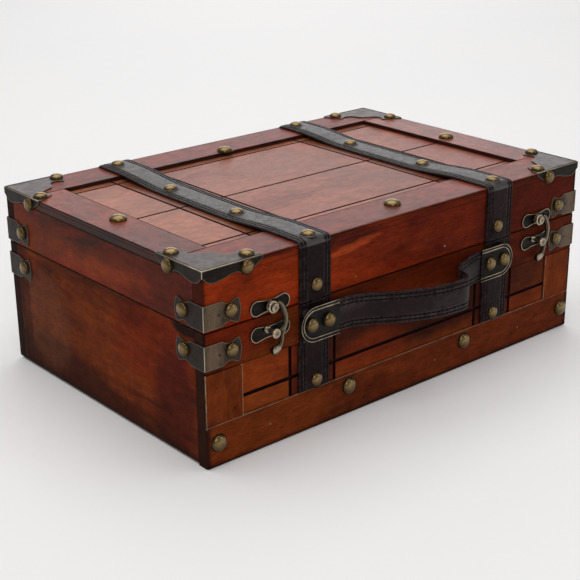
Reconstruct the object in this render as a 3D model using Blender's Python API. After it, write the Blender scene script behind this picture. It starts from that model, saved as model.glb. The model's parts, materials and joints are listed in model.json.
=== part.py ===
# Wooden travelling chest: a flat case with a hinged lid, leather straps, swing-hook latches, bronze
# corner fittings and a leather handle.
# Lengths are in metres. +Z is up, +X runs along the front to the right, and the front faces -Y.
# The origin is the centre of the underside.

import bpy
import bmesh
from math import cos, pi, sin
from mathutils import Matrix, Vector

# Case
box_length = 0.320
box_depth = 0.210
seam_height = 0.0835
seam_gap = 0.0005
lid_height = 0.0360
board_thickness = 0.0085
bottom_thickness = 0.0040
fit_gap = 0.0003
corner_round = 0.0012
foot_round = 0.0022

# Frame of thin strips on the base front
front_strip_thickness = 0.0010
front_strip_round = 0.0005
front_bottom_rail_height = 0.0266
front_top_rail_height = 0.0247
front_stile_width = 0.0263

# Frame of strips on the lid top
top_strip_thickness = 0.0022
top_strip_round = 0.0009
top_front_rail_width = 0.0300
top_back_rail_width = 0.0282
top_stile_width = 0.0265
top_panel_thickness = 0.0034

# Grooves of the top panel and of the base front
top_groove_width = 0.0014
top_groove_depth = 0.0009
front_groove_width = 0.0021
front_groove_depth = 0.0013
strap_to_groove = 0.0175
front_plank_line_inset = 0.0102
middle_plank_line_shift = -0.0020
back_plank_line_inset = 0.0069
front_line_above_rail = 0.0118
cut_overrun = 0.0010

# Leather straps
strap_from_end = 0.0800
strap_width = 0.0240
strap_thickness = 0.0019
strap_bend_radius = 0.0016
strap_sag_run = 0.0380
strap_step_run = 0.0025

# Domed nails
small_nail_radius = 0.0046
small_nail_height = 0.0022
large_nail_radius = 0.0056
large_nail_height = 0.0026
nail_rim = 0.0004
nail_sunk = 0.0002
nail_shank_radius = 0.0008
nail_shank_length = 0.0050
strap_nail_from_front_edge = 0.0062
strap_nail_from_back_edge = 0.0100
strap_nail_from_middle = 0.0335
strap_nail_above_seam = 0.0093
strap_nail_above_rail = 0.0074
rail_nail_from_end = 0.0077
rail_nail_from_strap = 0.0283
rail_nail_outer_height = 0.0152
rail_nail_inner_height = 0.0190
top_nail_end_inset = 0.0170
top_nail_front_inset = 0.0170
top_nail_back_inset = 0.0255

# Bronze sheet fittings
sheet_thickness = 0.0005
cap_leg = 0.0420
cap_flange = 0.0088
cap_top_nail_along = 0.0350
cap_top_nail_inset = 0.0052
cap_side_nail_along = 0.0304
cap_side_nail_depth = 0.0041
bracket_leg = 0.0256
bracket_height = 0.0151
bracket_nail_along = 0.0184
bracket_nail_lift = 0.0008
lid_bracket_from_seam = 0.0012
base_bracket_from_seam = 0.0070

# Latches
latch_left_from_end = 0.0462
latch_right_from_end = 0.0410
latch_plate_length = 0.0289
latch_plate_thickness = 0.0010
latch_plate_height = 0.0090
latch_plate_waist = 0.0066
latch_lobe_turn_share = 0.6
latch_plate_above_seam = 0.0053
catch_plate_below_seam = 0.0101
pivot_below_plate_middle = 0.0005
pivot_boss_radius = 0.0030
pivot_boss_height = 0.0014
pivot_radius = 0.0012
pivot_head_radius = 0.0024
pivot_head_height = 0.0012
pivot_clearance = 0.0001
hook_ring_radius = 0.0037
hook_thickness = 0.0022
hook_reach = 0.0270
hook_arm_width = 0.0022
hook_spur_width = 0.0014
hook_ball_radius = 0.0024
stud_radius = 0.0011
stud_head_radius = 0.0028
stud_head_height = 0.0024
stud_reach = 0.0069
stud_side = 0.0027
stud_above_plate_middle = 0.0018

# Handle
handle_below_seam = 0.0135
handle_width = 0.0205
handle_thickness = 0.0024
handle_reach = 0.0252
handle_tab_length = 0.0248
handle_plate_from_strap = 0.0026
handle_plate_shift = -0.0024
handle_plate_below_seam = 0.0130
handle_plate_length = 0.0300
handle_plate_width = 0.0220
handle_plate_thickness = 0.0010
handle_end_inset = 0.0015
handle_nail_spacing = 0.0134

# Hinges
hinge_from_end = 0.0450
hinge_length = 0.0260
hinge_leaf_height = 0.0140
hinge_leaf_thickness = 0.0010
hinge_barrel_radius = 0.0023
hinge_pin_radius = 0.0010
hinge_pin_clearance = 0.0001
hinge_middle_knuckle_share = 0.40

# Roundness of the turned pieces
nail_sides = 12
dome_rings = 3
pin_sides = 16
knuckle_sides = 20
arc_steps = 8
bend_steps = 4
merge_distance = 0.0000001

# Half of a corner cap's outline on the lid top, as shares of its leg, from the far end to the diagonal
cap_outline_shares = [
    (1.0, 0.048),
    (0.930, 0.170),
    (0.845, 0.321),
    (0.780, 0.283),
    (0.700, 0.272),
    (0.625, 0.300),
    (0.583, 0.369),
    (0.514, 0.514),
]
# Lower edge of a cap's flange: share of the leg, share of the flange's depth
cap_flange_shares = [
    (1.0, 0.28),
    (0.90, 0.55),
    (0.80, 0.84),
    (0.70, 0.93),
    (0.61, 0.80),
    (0.55, 0.71),
    (0.46, 0.73),
    (0.36, 0.86),
    (0.26, 0.95),
    (0.16, 1.0),
    (0.07, 0.86),
    (0.0, 0.63),
]
# Upper half of a bracket leg's outline: share of the leg, share of half its height
bracket_outline_shares = [
    (0.47, 1.0),
    (0.55, 0.84),
    (0.65, 0.73),
    (0.74, 0.78),
    (0.83, 0.90),
    (0.925, 0.97),
    (0.975, 0.55),
    (1.0, 0.15),
]
# Middle line of a hook's arm, as shares of the hook's reach, from the ring to the ball
hook_arm_shares = [
    (0.055, 0.105),
    (0.148, 0.074),
    (0.244, -0.056),
    (0.304, -0.196),
    (0.330, -0.326),
    (0.315, -0.450),
    (0.276, -0.578),
    (0.230, -0.681),
    (0.222, -0.811),
    (0.178, -0.904),
    (0.074, -1.0),
]
hook_spur_shares = [(0.326, -0.400), (0.278, -0.493), (0.193, -0.554), (0.096, -0.578)]
# Middle line of the handle seen from above: share of the span, share of the reach
handle_route_shares = [
    (0.0, 0.0),
    (0.078, 0.010),
    (0.149, 0.115),
    (0.221, 0.298),
    (0.300, 0.504),
    (0.387, 0.698),
    (0.467, 0.845),
    (0.538, 0.940),
    (0.622, 0.992),
    (0.669, 1.0),
    (0.702, 0.933),
    (0.723, 0.766),
    (0.735, 0.587),
    (0.757, 0.417),
    (0.798, 0.274),
    (0.848, 0.163),
    (0.911, 0.075),
    (0.967, 0.015),
    (1.0, 0.0),
]
route_steps = 3

# Places worked out from the sizes above
half_length = box_length / 2
half_depth = box_depth / 2
front = -half_depth
back = half_depth
lid_bottom = seam_height + seam_gap
box_height = lid_bottom + lid_height
strap_from_middle = half_length - strap_from_end
panel_top = box_height - top_strip_thickness - fit_gap
panel_bottom = panel_top - top_panel_thickness
lid_board_top = panel_bottom - fit_gap
front_field = front + front_strip_thickness + fit_gap
board_inside = half_depth - board_thickness
side_inside = half_length - board_thickness
front_top_rail_bottom = seam_height - front_top_rail_height
strap_outside = fit_gap + strap_thickness
handle_inside = strap_outside + fit_gap
handle_line = front - handle_inside - handle_thickness / 2
handle_plate_inside = handle_inside + handle_thickness + fit_gap
hinge_axis_y = back + fit_gap + hinge_barrel_radius
hinge_axis_z = (seam_height + lid_bottom) / 2
front_line_height = front_bottom_rail_height + front_line_above_rail
latch_left_x = -half_length + latch_left_from_end
latch_right_x = half_length - latch_right_from_end
latch_plate_middle = lid_bottom + latch_plate_above_seam
pivot_height = latch_plate_middle - pivot_below_plate_middle
latch_plate_outside = fit_gap + latch_plate_thickness
hook_inside = latch_plate_outside + pivot_boss_height + fit_gap
hook_outside = hook_inside + hook_thickness
catch_height = seam_height - catch_plate_below_seam
handle_height = seam_height - handle_below_seam
handle_plate_height = seam_height - handle_plate_below_seam
handle_left_plate = -strap_from_middle + handle_plate_from_strap + handle_plate_shift
handle_right_plate = strap_from_middle - handle_plate_from_strap + handle_plate_shift

# Colours of the finishes: red, green, blue, roughness, metallic
FINISHES = {
    "base_wood": (0.145, 0.035, 0.013, 0.36, 0.0),
    "lid_wood": (0.190, 0.040, 0.012, 0.34, 0.0),
    "top_wood": (0.230, 0.085, 0.048, 0.38, 0.0),
    "leather": (0.018, 0.014, 0.014, 0.42, 0.0),
    "bronze": (0.090, 0.078, 0.060, 0.38, 1.0),
    "dark_steel": (0.060, 0.056, 0.050, 0.35, 1.0),
    "nail_brass": (0.420, 0.320, 0.180, 0.30, 1.0),
}


def clear_scene():
    for thing in list(bpy.data.objects):
        bpy.data.objects.remove(thing, do_unlink=True)


def finish(name):
    """The Principled material of one finish, made once."""
    material = bpy.data.materials.get(name)
    if material is None:
        red, green, blue, roughness, metallic = FINISHES[name]
        material = bpy.data.materials.new(name)
        material.use_nodes = True
        shader = material.node_tree.nodes["Principled BSDF"]
        shader.inputs["Base Color"].default_value = (red, green, blue, 1)
        shader.inputs["Roughness"].default_value = roughness
        shader.inputs["Metallic"].default_value = metallic
    return material


# Shapes


def prism(outline, axis, start, end):
    """A closed 2-D outline, drawn in the plane across an axis and pulled along it from start to end."""
    place = {
        "X": lambda a, b, along: (along, a, b),
        "Y": lambda a, b, along: (a, along, b),
        "Z": lambda a, b, along: (a, b, along),
    }[axis]
    shape = bmesh.new()
    face = shape.faces.new([shape.verts.new(place(a, b, start)) for a, b in outline])
    pulled = bmesh.ops.extrude_face_region(shape, geom=[face])
    moved = [item for item in pulled["geom"] if isinstance(item, bmesh.types.BMVert)]
    bmesh.ops.translate(shape, verts=moved, vec=place(0, 0, end - start))
    bmesh.ops.recalc_face_normals(shape, faces=shape.faces)
    return shape


def block(x, y, z):
    """A box between the low and the high value on each axis."""
    return prism([(x[0], y[0]), (x[1], y[0]), (x[1], y[1]), (x[0], y[1])], "Z", z[0], z[1])


def turned(profile, sides):
    """A profile of (radius, height) points turned about Z. It starts and ends on the axis, or closes."""
    shape = bmesh.new()
    points = [shape.verts.new((radius, 0, height)) for radius, height in profile]
    lines = [shape.edges.new(pair) for pair in zip(points, points[1:])]
    if profile[0][0] > 0:
        lines.append(shape.edges.new((points[-1], points[0])))
    bmesh.ops.spin(
        shape,
        geom=points + lines,
        cent=(0, 0, 0),
        axis=(0, 0, 1),
        angle=2 * pi,
        steps=sides,
        use_merge=True,
    )
    bmesh.ops.remove_doubles(shape, verts=shape.verts, dist=merge_distance)
    bmesh.ops.recalc_face_normals(shape, faces=shape.faces)
    return shape


def rod(radius, start, end, sides):
    return turned([(0, start), (radius, start), (radius, end), (0, end)], sides)


def dome(radius, height, base, sides):
    """The outline of a domed head on Z, from its rim's foot at base up to its top at height."""
    profile = [(0, base), (radius, base), (radius, nail_rim)]
    for ring in range(1, dome_rings):
        angle = pi / 2 * ring / dome_rings
        profile.append((radius * cos(angle), nail_rim + (height - nail_rim) * sin(angle)))
    profile.append((0, height))
    return turned(profile, sides)


def turned_to(shape, direction, place):
    """Points a shape that was made along Z in a direction and moves it to a place."""
    turn = Vector((0, 0, 1)).rotation_difference(Vector(direction)).to_matrix().to_4x4()
    bmesh.ops.transform(shape, matrix=Matrix.Translation(place) @ turn, verts=shape.verts)
    return shape


def softened(shape, picks, width, segments=2):
    """Rounds the straight edges whose middle point passes one of the tests."""
    edges = []
    for edge in shape.edges:
        middle = (edge.verts[0].co + edge.verts[1].co) / 2
        if any(test(middle, (edge.verts[1].co - edge.verts[0].co).normalized()) for test in picks):
            edges.append(edge)
    bmesh.ops.bevel(
        shape,
        geom=edges,
        offset=width,
        offset_type="OFFSET",
        segments=segments,
        profile=0.5,
        affect="EDGES",
        material=-1,
    )
    return shape


def arc(centre, radius, start, end, steps):
    """Points of an arc from one angle to another, in half turns."""
    points = []
    for step in range(steps + 1):
        angle = pi * (start + (end - start) * step / steps)
        points.append((centre[0] + radius * cos(angle), centre[1] + radius * sin(angle)))
    return points


def offset_line(points, distance):
    """A line of 2-D points moved sideways to its left by a distance, mitred at its corners."""
    moved = []
    for index, point in enumerate(points):
        before = Vector(points[max(index - 1, 0)])
        after = Vector(points[min(index + 1, len(points) - 1)])
        here = Vector(point)
        first = (here - before).normalized() if index else (after - here).normalized()
        second = (after - here).normalized() if index < len(points) - 1 else first
        across = Vector((-(first + second).y, (first + second).x)).normalized()
        reach = distance / max(across.dot(Vector((-first.y, first.x))), 0.5)
        moved.append(tuple(here + across * reach))
    return moved


def ribbon(points, width):
    """A closed outline of a steady width round a middle line."""
    return offset_line(points, width / 2) + offset_line(points, -width / 2)[::-1]


def smooth_route(points, steps):
    """More points on a Catmull-Rom curve through the given ones."""
    route = []
    last = len(points) - 1
    for index in range(last):
        around = [Vector(points[min(max(index + step, 0), last)]) for step in (-1, 0, 1, 2)]
        for part in range(steps):
            t = part / steps
            route.append(
                tuple(
                    (
                        around[1] * 2
                        + (around[2] - around[0]) * t
                        + (around[0] * 2 - around[1] * 5 + around[2] * 4 - around[3]) * t * t
                        + (around[1] * 3 - around[0] - around[2] * 3 + around[3]) * t * t * t
                    )
                    / 2
                )
            )
    route.append(points[last])
    return route


# Making parts


def loose(shape):
    """An object that holds a shape while parts are joined or cut."""
    mesh = bpy.data.meshes.new("shape")
    shape.to_mesh(mesh)
    shape.free()
    thing = bpy.data.objects.new("shape", mesh)
    bpy.context.scene.collection.objects.link(thing)
    return thing


def combined(shape, joined=(), cut=()):
    """One shape with others joined to it and then others cut from it."""
    thing = loose(shape)
    helpers = []
    for operation, shapes in (("UNION", joined), ("DIFFERENCE", cut)):
        for other in shapes:
            helper = loose(other)
            helpers.append(helper)
            modifier = thing.modifiers.new(operation.title(), "BOOLEAN")
            modifier.operation = operation
            modifier.object = helper
    bpy.context.view_layer.update()
    view = bpy.context.evaluated_depsgraph_get()
    result = bmesh.new()
    result.from_object(thing, view)
    for item in [thing] + helpers:
        bpy.data.objects.remove(item, do_unlink=True)
    return result


def add_part(name, shape, finish_name, carrier=None, smooth=False):
    """A named part with its origin at the middle of its box, carried by an empty on a joint's axis."""
    low = Vector([min(point.co[axis] for point in shape.verts) for axis in range(3)])
    high = Vector([max(point.co[axis] for point in shape.verts) for axis in range(3)])
    middle = (low + high) / 2
    bmesh.ops.translate(shape, verts=shape.verts, vec=-middle)
    mesh = bpy.data.meshes.new(name)
    shape.to_mesh(mesh)
    shape.free()
    if smooth:
        mesh.shade_smooth()
        mesh.set_sharp_from_angle(angle=pi / 5)
    mesh.materials.append(finish(finish_name))
    part = bpy.data.objects.new(name, mesh)
    part.location = middle
    bpy.context.scene.collection.objects.link(part)
    if carrier is not None:
        part.parent = carrier
        part.matrix_parent_inverse = carrier.matrix_world.inverted()
    return part


def add_axis(name, place, carrier=None):
    """An empty on the axis of a joint."""
    empty = bpy.data.objects.new(name, None)
    empty.location = place
    bpy.context.scene.collection.objects.link(empty)
    if carrier is not None:
        empty.parent = carrier
        empty.matrix_parent_inverse = carrier.matrix_world.inverted()
    bpy.context.view_layer.update()
    return empty


def small_nail(direction, place):
    """A domed head that sits on a sheet and is a little sunk into it."""
    head = dome(small_nail_radius, small_nail_height, -nail_sunk, nail_sides)
    return turned_to(head, direction, place)


def large_nail(direction, place):
    """A domed head with its shank, seated a fit gap above the wood."""
    head = [
        (0, -nail_shank_length),
        (nail_shank_radius, -nail_shank_length),
        (nail_shank_radius, fit_gap),
        (large_nail_radius, fit_gap),
        (large_nail_radius, fit_gap + nail_rim),
    ]
    for ring in range(1, dome_rings):
        angle = pi / 2 * ring / dome_rings
        rise = (large_nail_height - nail_rim) * sin(angle)
        head.append((large_nail_radius * cos(angle), fit_gap + nail_rim + rise))
    head.append((0, fit_gap + large_nail_height))
    return turned_to(turned(head, nail_sides), direction, place)


def nail_hole(direction, place):
    """The hole that a large nail's shank goes into."""
    hole = rod(nail_shank_radius + fit_gap, -nail_shank_length - fit_gap, cut_overrun, nail_sides)
    return turned_to(hole, direction, place)


# Where the large nails are
outer_nail_x = half_length - rail_nail_from_end
inner_nail_x = strap_from_middle - rail_nail_from_strap
rail_nails = {
    "base_rail_nail_1": (-outer_nail_x, front, rail_nail_outer_height),
    "base_rail_nail_2": (-inner_nail_x, front, rail_nail_inner_height),
    "base_rail_nail_3": (inner_nail_x, front, rail_nail_inner_height),
    "base_rail_nail_4": (outer_nail_x, front, rail_nail_outer_height),
}
top_nails = {
    "lid_top_nail_left": (-half_length + top_nail_end_inset, 0, box_height),
    "lid_top_nail_right": (half_length - top_nail_end_inset, 0, box_height),
    "lid_top_nail_front": (0, front + top_nail_front_inset, box_height),
    "lid_top_nail_back": (0, back - top_nail_back_inset, box_height),
}
groove_columns = [
    side * strap_from_middle + step * strap_to_groove for side in (-1, 1) for step in (-1, 1)
]


def lies_along(axis, **limits):
    """A test for edges that run along an axis and lie at the given outer planes."""

    def test(middle, direction):
        if abs(direction["xyz".index(axis)]) < cos(pi / 36):
            return False
        return all(
            abs(middle["xyz".index(name)] - value) < fit_gap / 2 for name, value in limits.items()
        )

    return test


# Base


def add_base_boards():
    across = (-half_length, half_length)
    outer_ends = [
        lies_along("z", x=-half_length, y=back),
        lies_along("z", x=half_length, y=back),
        lies_along("x", y=back, z=0),
    ]
    back_board = block(across, (board_inside, back), (0, seam_height))
    softened(back_board, outer_ends, corner_round)
    add_part("base_back_board", back_board, "base_wood")

    low = front_bottom_rail_height
    grooves = [
        block(
            (-half_length + front_stile_width, half_length - front_stile_width),
            (front_field - cut_overrun, front_field + front_groove_depth),
            (front_line_height - front_groove_width / 2, front_line_height + front_groove_width / 2),
        )
    ]
    for column in groove_columns:
        grooves.append(
            block(
                (column - front_groove_width / 2, column + front_groove_width / 2),
                (front_field - cut_overrun, front_field + front_groove_depth),
                (low, front_top_rail_bottom),
            )
        )
    holes = [nail_hole((0, -1, 0), place) for place in rail_nails.values()]
    front_board = block(across, (front_field, -board_inside), (0, seam_height))
    add_part("base_front_board", combined(front_board, cut=grooves + holes), "base_wood")

    for name, side in (("base_left_board", -1), ("base_right_board", 1)):
        x = sorted((side * side_inside, side * half_length))
        y = (-board_inside + fit_gap, board_inside - fit_gap)
        board = block(x, y, (0, seam_height))
        softened(board, [lies_along("y", x=side * half_length, z=0)], foot_round)
        add_part(name, board, "base_wood")

    panel = block(
        (-side_inside + fit_gap, side_inside - fit_gap),
        (-board_inside + fit_gap, board_inside - fit_gap),
        (0, bottom_thickness),
    )
    add_part("base_bottom_panel", panel, "base_wood")


def add_front_frame():
    depth = (front, front + front_strip_thickness)
    across = (-half_length, half_length)
    bottom_rail = block(across, depth, (0, front_bottom_rail_height - fit_gap))
    bottom_rail = combined(
        bottom_rail, cut=[nail_hole((0, -1, 0), place) for place in rail_nails.values()]
    )
    corners = [lies_along("z", x=side * half_length, y=front) for side in (-1, 1)]
    rail_edges = corners + [
        lies_along("x", y=front, z=front_bottom_rail_height - fit_gap),
        lies_along("x", y=front, z=0),
    ]
    softened(bottom_rail, rail_edges, front_strip_round)
    add_part("base_front_bottom_rail", bottom_rail, "base_wood")

    top_rail = block(across, depth, (front_top_rail_bottom, seam_height))
    softened(top_rail, corners, front_strip_round)
    add_part("base_front_top_rail", top_rail, "base_wood")

    for name, side in (("base_front_stile_left", -1), ("base_front_stile_right", 1)):
        inner = side * (half_length - front_stile_width)
        x = sorted((side * half_length, inner))
        stile = block(x, depth, (front_bottom_rail_height, front_top_rail_bottom - fit_gap))
        edges = [
            lies_along("z", x=side * half_length, y=front),
            lies_along("z", x=inner, y=front),
        ]
        softened(stile, edges, front_strip_round)
        add_part(name, stile, "base_wood")


def add_rail_nails():
    for name, place in rail_nails.items():
        add_part(name, large_nail((0, -1, 0), place), "nail_brass", smooth=True)


def add_base_straps():
    """Each base strap lies on the top rail, steps back to the field and ends on the bottom rail."""
    line = [
        (front - fit_gap, seam_height - fit_gap),
        (front - fit_gap, front_top_rail_bottom - fit_gap),
        (front_field - fit_gap, front_top_rail_bottom - fit_gap - strap_step_run),
        (front_field - fit_gap, front_bottom_rail_height + fit_gap),
    ]
    outline = line + offset_line(line, -strap_thickness)[::-1]
    for name, side in (("base_strap_left", -1), ("base_strap_right", 1)):
        middle = side * strap_from_middle
        strap = prism(outline, "X", middle - strap_width / 2, middle + strap_width / 2)
        surface = front_field - fit_gap - strap_thickness
        nail_height = front_bottom_rail_height + strap_nail_above_rail
        nail = small_nail((0, -1, 0), (middle, surface, nail_height))
        add_part(name, combined(strap, joined=[nail]), "leather", smooth=True)


# Lid


def add_lid_boards(lid):
    across = (-half_length, half_length)
    for name, side in (("lid_front_board", -1), ("lid_back_board", 1)):
        y = sorted((side * board_inside, side * half_depth))
        board = block(across, y, (lid_bottom, panel_top))
        corners = [lies_along("z", x=end * half_length, y=side * half_depth) for end in (-1, 1)]
        softened(board, corners, corner_round)
        add_part(name, board, "lid_wood", lid)
    for name, side in (("lid_left_board", -1), ("lid_right_board", 1)):
        x = sorted((side * side_inside, side * half_length))
        y = (-board_inside + fit_gap, board_inside - fit_gap)
        add_part(name, block(x, y, (lid_bottom, lid_board_top)), "lid_wood", lid)


def add_top_panel(lid):
    reach_x = half_length - top_stile_width
    y = (front + top_front_rail_width, back - top_back_rail_width)
    z = (panel_top - top_groove_depth, panel_top + cut_overrun)
    cuts = []
    first_line = y[0] + front_plank_line_inset
    last_line = y[1] - back_plank_line_inset
    middle_line = (first_line + last_line) / 2 + middle_plank_line_shift
    for line in (first_line, middle_line, last_line):
        width = (line - top_groove_width / 2, line + top_groove_width / 2)
        cuts.append(block((-reach_x, reach_x), width, z))
    for column in groove_columns:
        width = (column - top_groove_width / 2, column + top_groove_width / 2)
        cuts.append(block(width, y, z))
    cuts += [nail_hole((0, 0, 1), place) for place in top_nails.values()]
    y = (-board_inside + fit_gap, board_inside - fit_gap)
    panel = block((-half_length, half_length), y, (panel_bottom, panel_top))
    add_part("lid_top_panel", combined(panel, cut=cuts), "top_wood", lid)


def add_top_frame(lid):
    z = (panel_top + fit_gap, box_height)
    inner_front = front + top_front_rail_width
    inner_back = back - top_back_rail_width
    across = (-half_length, half_length)
    strips = {
        "lid_top_front_rail": (across, (front, inner_front), "lid_top_nail_front"),
        "lid_top_back_rail": (across, (inner_back, back), "lid_top_nail_back"),
        "lid_top_left_stile": (
            (-half_length, -half_length + top_stile_width),
            (inner_front + fit_gap, inner_back - fit_gap),
            "lid_top_nail_left",
        ),
        "lid_top_right_stile": (
            (half_length - top_stile_width, half_length),
            (inner_front + fit_gap, inner_back - fit_gap),
            "lid_top_nail_right",
        ),
    }
    for name, (x, y, nail) in strips.items():
        strip = combined(block(x, y, z), cut=[nail_hole((0, 0, 1), top_nails[nail])])
        edges = [lies_along("x", y=value, z=box_height) for value in y]
        edges += [lies_along("y", x=value, z=box_height) for value in x]
        softened(strip, edges, top_strip_round)
        add_part(name, strip, "top_wood", lid)


def add_top_nails(lid):
    for name, place in top_nails.items():
        add_part(name, large_nail((0, 0, 1), place), "nail_brass", lid, smooth=True)


def add_lid_straps(lid):
    """Each lid strap goes from the seam at the back over the top to the seam at the front."""
    down = lid_bottom + fit_gap
    bend = strap_bend_radius
    low = panel_top + fit_gap
    high = box_height + fit_gap
    outer = half_depth + fit_gap
    rail_back = back - top_back_rail_width
    rail_front = front + top_front_rail_width
    line = [(outer, down)]
    line += arc((outer - bend, high - bend), bend, 0, 0.5, bend_steps)
    for edge, sense in ((rail_back, -1), (rail_front, 1)):
        slope = []
        for step in range(bend_steps + 1):
            share = step / bend_steps
            drop = (1 - cos(pi * share)) / 2
            slope.append((edge + sense * strap_sag_run * share, high + (low - high) * drop))
        line += slope if sense < 0 else slope[::-1]
    line += arc((-outer + bend, high - bend), bend, 0.5, 1, bend_steps)
    line.append((-outer, down))
    outline = line + offset_line(line, -strap_thickness)[::-1]
    for name, side in (("lid_strap_left", -1), ("lid_strap_right", 1)):
        middle = side * strap_from_middle
        nails = []
        for sense, inset in ((-1, strap_nail_from_front_edge), (1, strap_nail_from_back_edge)):
            on_rail = sense * (half_depth - inset)
            on_panel = sense * strap_nail_from_middle
            down_side = lid_bottom + strap_nail_above_seam
            nails += [
                small_nail((0, 0, 1), (middle, on_rail, high + strap_thickness)),
                small_nail((0, 0, 1), (middle, on_panel, low + strap_thickness)),
                small_nail((0, sense, 0), (middle, sense * (outer + strap_thickness), down_side)),
            ]
        strap = prism(outline, "X", middle - strap_width / 2, middle + strap_width / 2)
        add_part(name, combined(strap, joined=nails), "leather", lid, smooth=True)


# Bronze corners


def corner_caps(lid):
    """A cap covers each top corner of the lid with a shaped plate and two scalloped flanges."""
    skin = fit_gap + sheet_thickness
    under = box_height + fit_gap
    over = box_height + skin
    shaped = [(along * cap_leg, inset * cap_leg) for along, inset in cap_outline_shares]
    plate = [(-skin, -skin), (cap_leg, -skin)] + shaped
    plate += [(b, a) for a, b in shaped[-2::-1]] + [(-skin, cap_leg)]
    edge = [(cap_leg, over)]
    edge += [(a * cap_leg, over - b * cap_flange) for a, b in cap_flange_shares]
    edge += [(-skin, over - cap_flange_shares[-1][1] * cap_flange), (-skin, over)]
    for name, sx, sy in corner_names("lid_corner_cap"):
        corner_x = sx * half_length
        corner_y = sy * half_depth
        top = [(corner_x - sx * a, corner_y - sy * b) for a, b in plate]
        faces = [(corner_x - sx * a, b) for a, b in edge]
        sides = [(corner_y - sy * a, b) for a, b in edge]
        face_nail = corner_y + sy * skin
        side_nail = corner_x + sx * skin
        along_x = corner_x - sx * cap_top_nail_along
        along_y = corner_y - sy * cap_top_nail_along
        drop = box_height - cap_side_nail_depth
        joined = [
            prism(faces, "Y", corner_y + sy * fit_gap, face_nail),
            prism(sides, "X", corner_x + sx * fit_gap, side_nail),
            small_nail((0, 0, 1), (along_x, corner_y - sy * cap_top_nail_inset, over)),
            small_nail((0, 0, 1), (corner_x - sx * cap_top_nail_inset, along_y, over)),
            small_nail((0, sy, 0), (corner_x - sx * cap_side_nail_along, face_nail, drop)),
            small_nail((sx, 0, 0), (side_nail, corner_y - sy * cap_side_nail_along, drop)),
        ]
        cap = combined(prism(top, "Z", under, over), joined=joined)
        add_part(name, cap, "bronze", lid, smooth=True)


def corner_names(stem):
    """The four corners as (name, side of X, side of Y)."""
    return [
        (f"{stem}_front_left", -1, -1),
        (f"{stem}_front_right", 1, -1),
        (f"{stem}_back_left", -1, 1),
        (f"{stem}_back_right", 1, 1),
    ]


def corner_brackets(stem, middle_height, carrier=None):
    """A bracket wraps each upright corner, with two eared legs and a nail in each."""
    skin = fit_gap + sheet_thickness
    half = bracket_height / 2
    nail_height = middle_height + bracket_nail_lift
    upper = [(a * bracket_leg, b * half) for a, b in bracket_outline_shares]
    leg = [(-skin, half)] + upper + [(a, -b) for a, b in upper[::-1]] + [(-skin, -half)]
    for name, sx, sy in corner_names(stem):
        corner_x = sx * half_length
        corner_y = sy * half_depth
        face = [(corner_x - sx * a, middle_height + b) for a, b in leg]
        side = [(corner_y - sy * a, middle_height + b) for a, b in leg]
        nail_x = corner_x - sx * bracket_nail_along
        nail_y = corner_y - sy * bracket_nail_along
        joined = [
            prism(side, "X", corner_x + sx * fit_gap, corner_x + sx * skin),
            small_nail((0, sy, 0), (nail_x, corner_y + sy * skin, nail_height)),
            small_nail((sx, 0, 0), (corner_x + sx * skin, nail_y, nail_height)),
        ]
        bracket = combined(
            prism(face, "Y", corner_y + sy * fit_gap, corner_y + sy * skin), joined=joined
        )
        add_part(name, bracket, "bronze", carrier, smooth=True)


# Latches


def lobed_plate(x, z):
    """A plate with two round ends and a waist, on the front of the case."""
    radius = latch_plate_height / 2
    reach = latch_plate_length / 2 - radius
    waist = latch_plate_waist / 2
    turn = latch_lobe_turn_share
    outline = arc((x + reach, z), radius, -turn, turn, arc_steps)
    outline.append((x, z + waist))
    outline += arc((x - reach, z), radius, 1 - turn, 1 + turn, arc_steps)
    outline.append((x, z - waist))
    return prism(outline, "Y", front - fit_gap, front - latch_plate_outside)


def along_front(shape, x, z):
    """Moves a shape that was made along Z to the front, pointing out of it."""
    return turned_to(shape, (0, -1, 0), (x, front, z))


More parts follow.
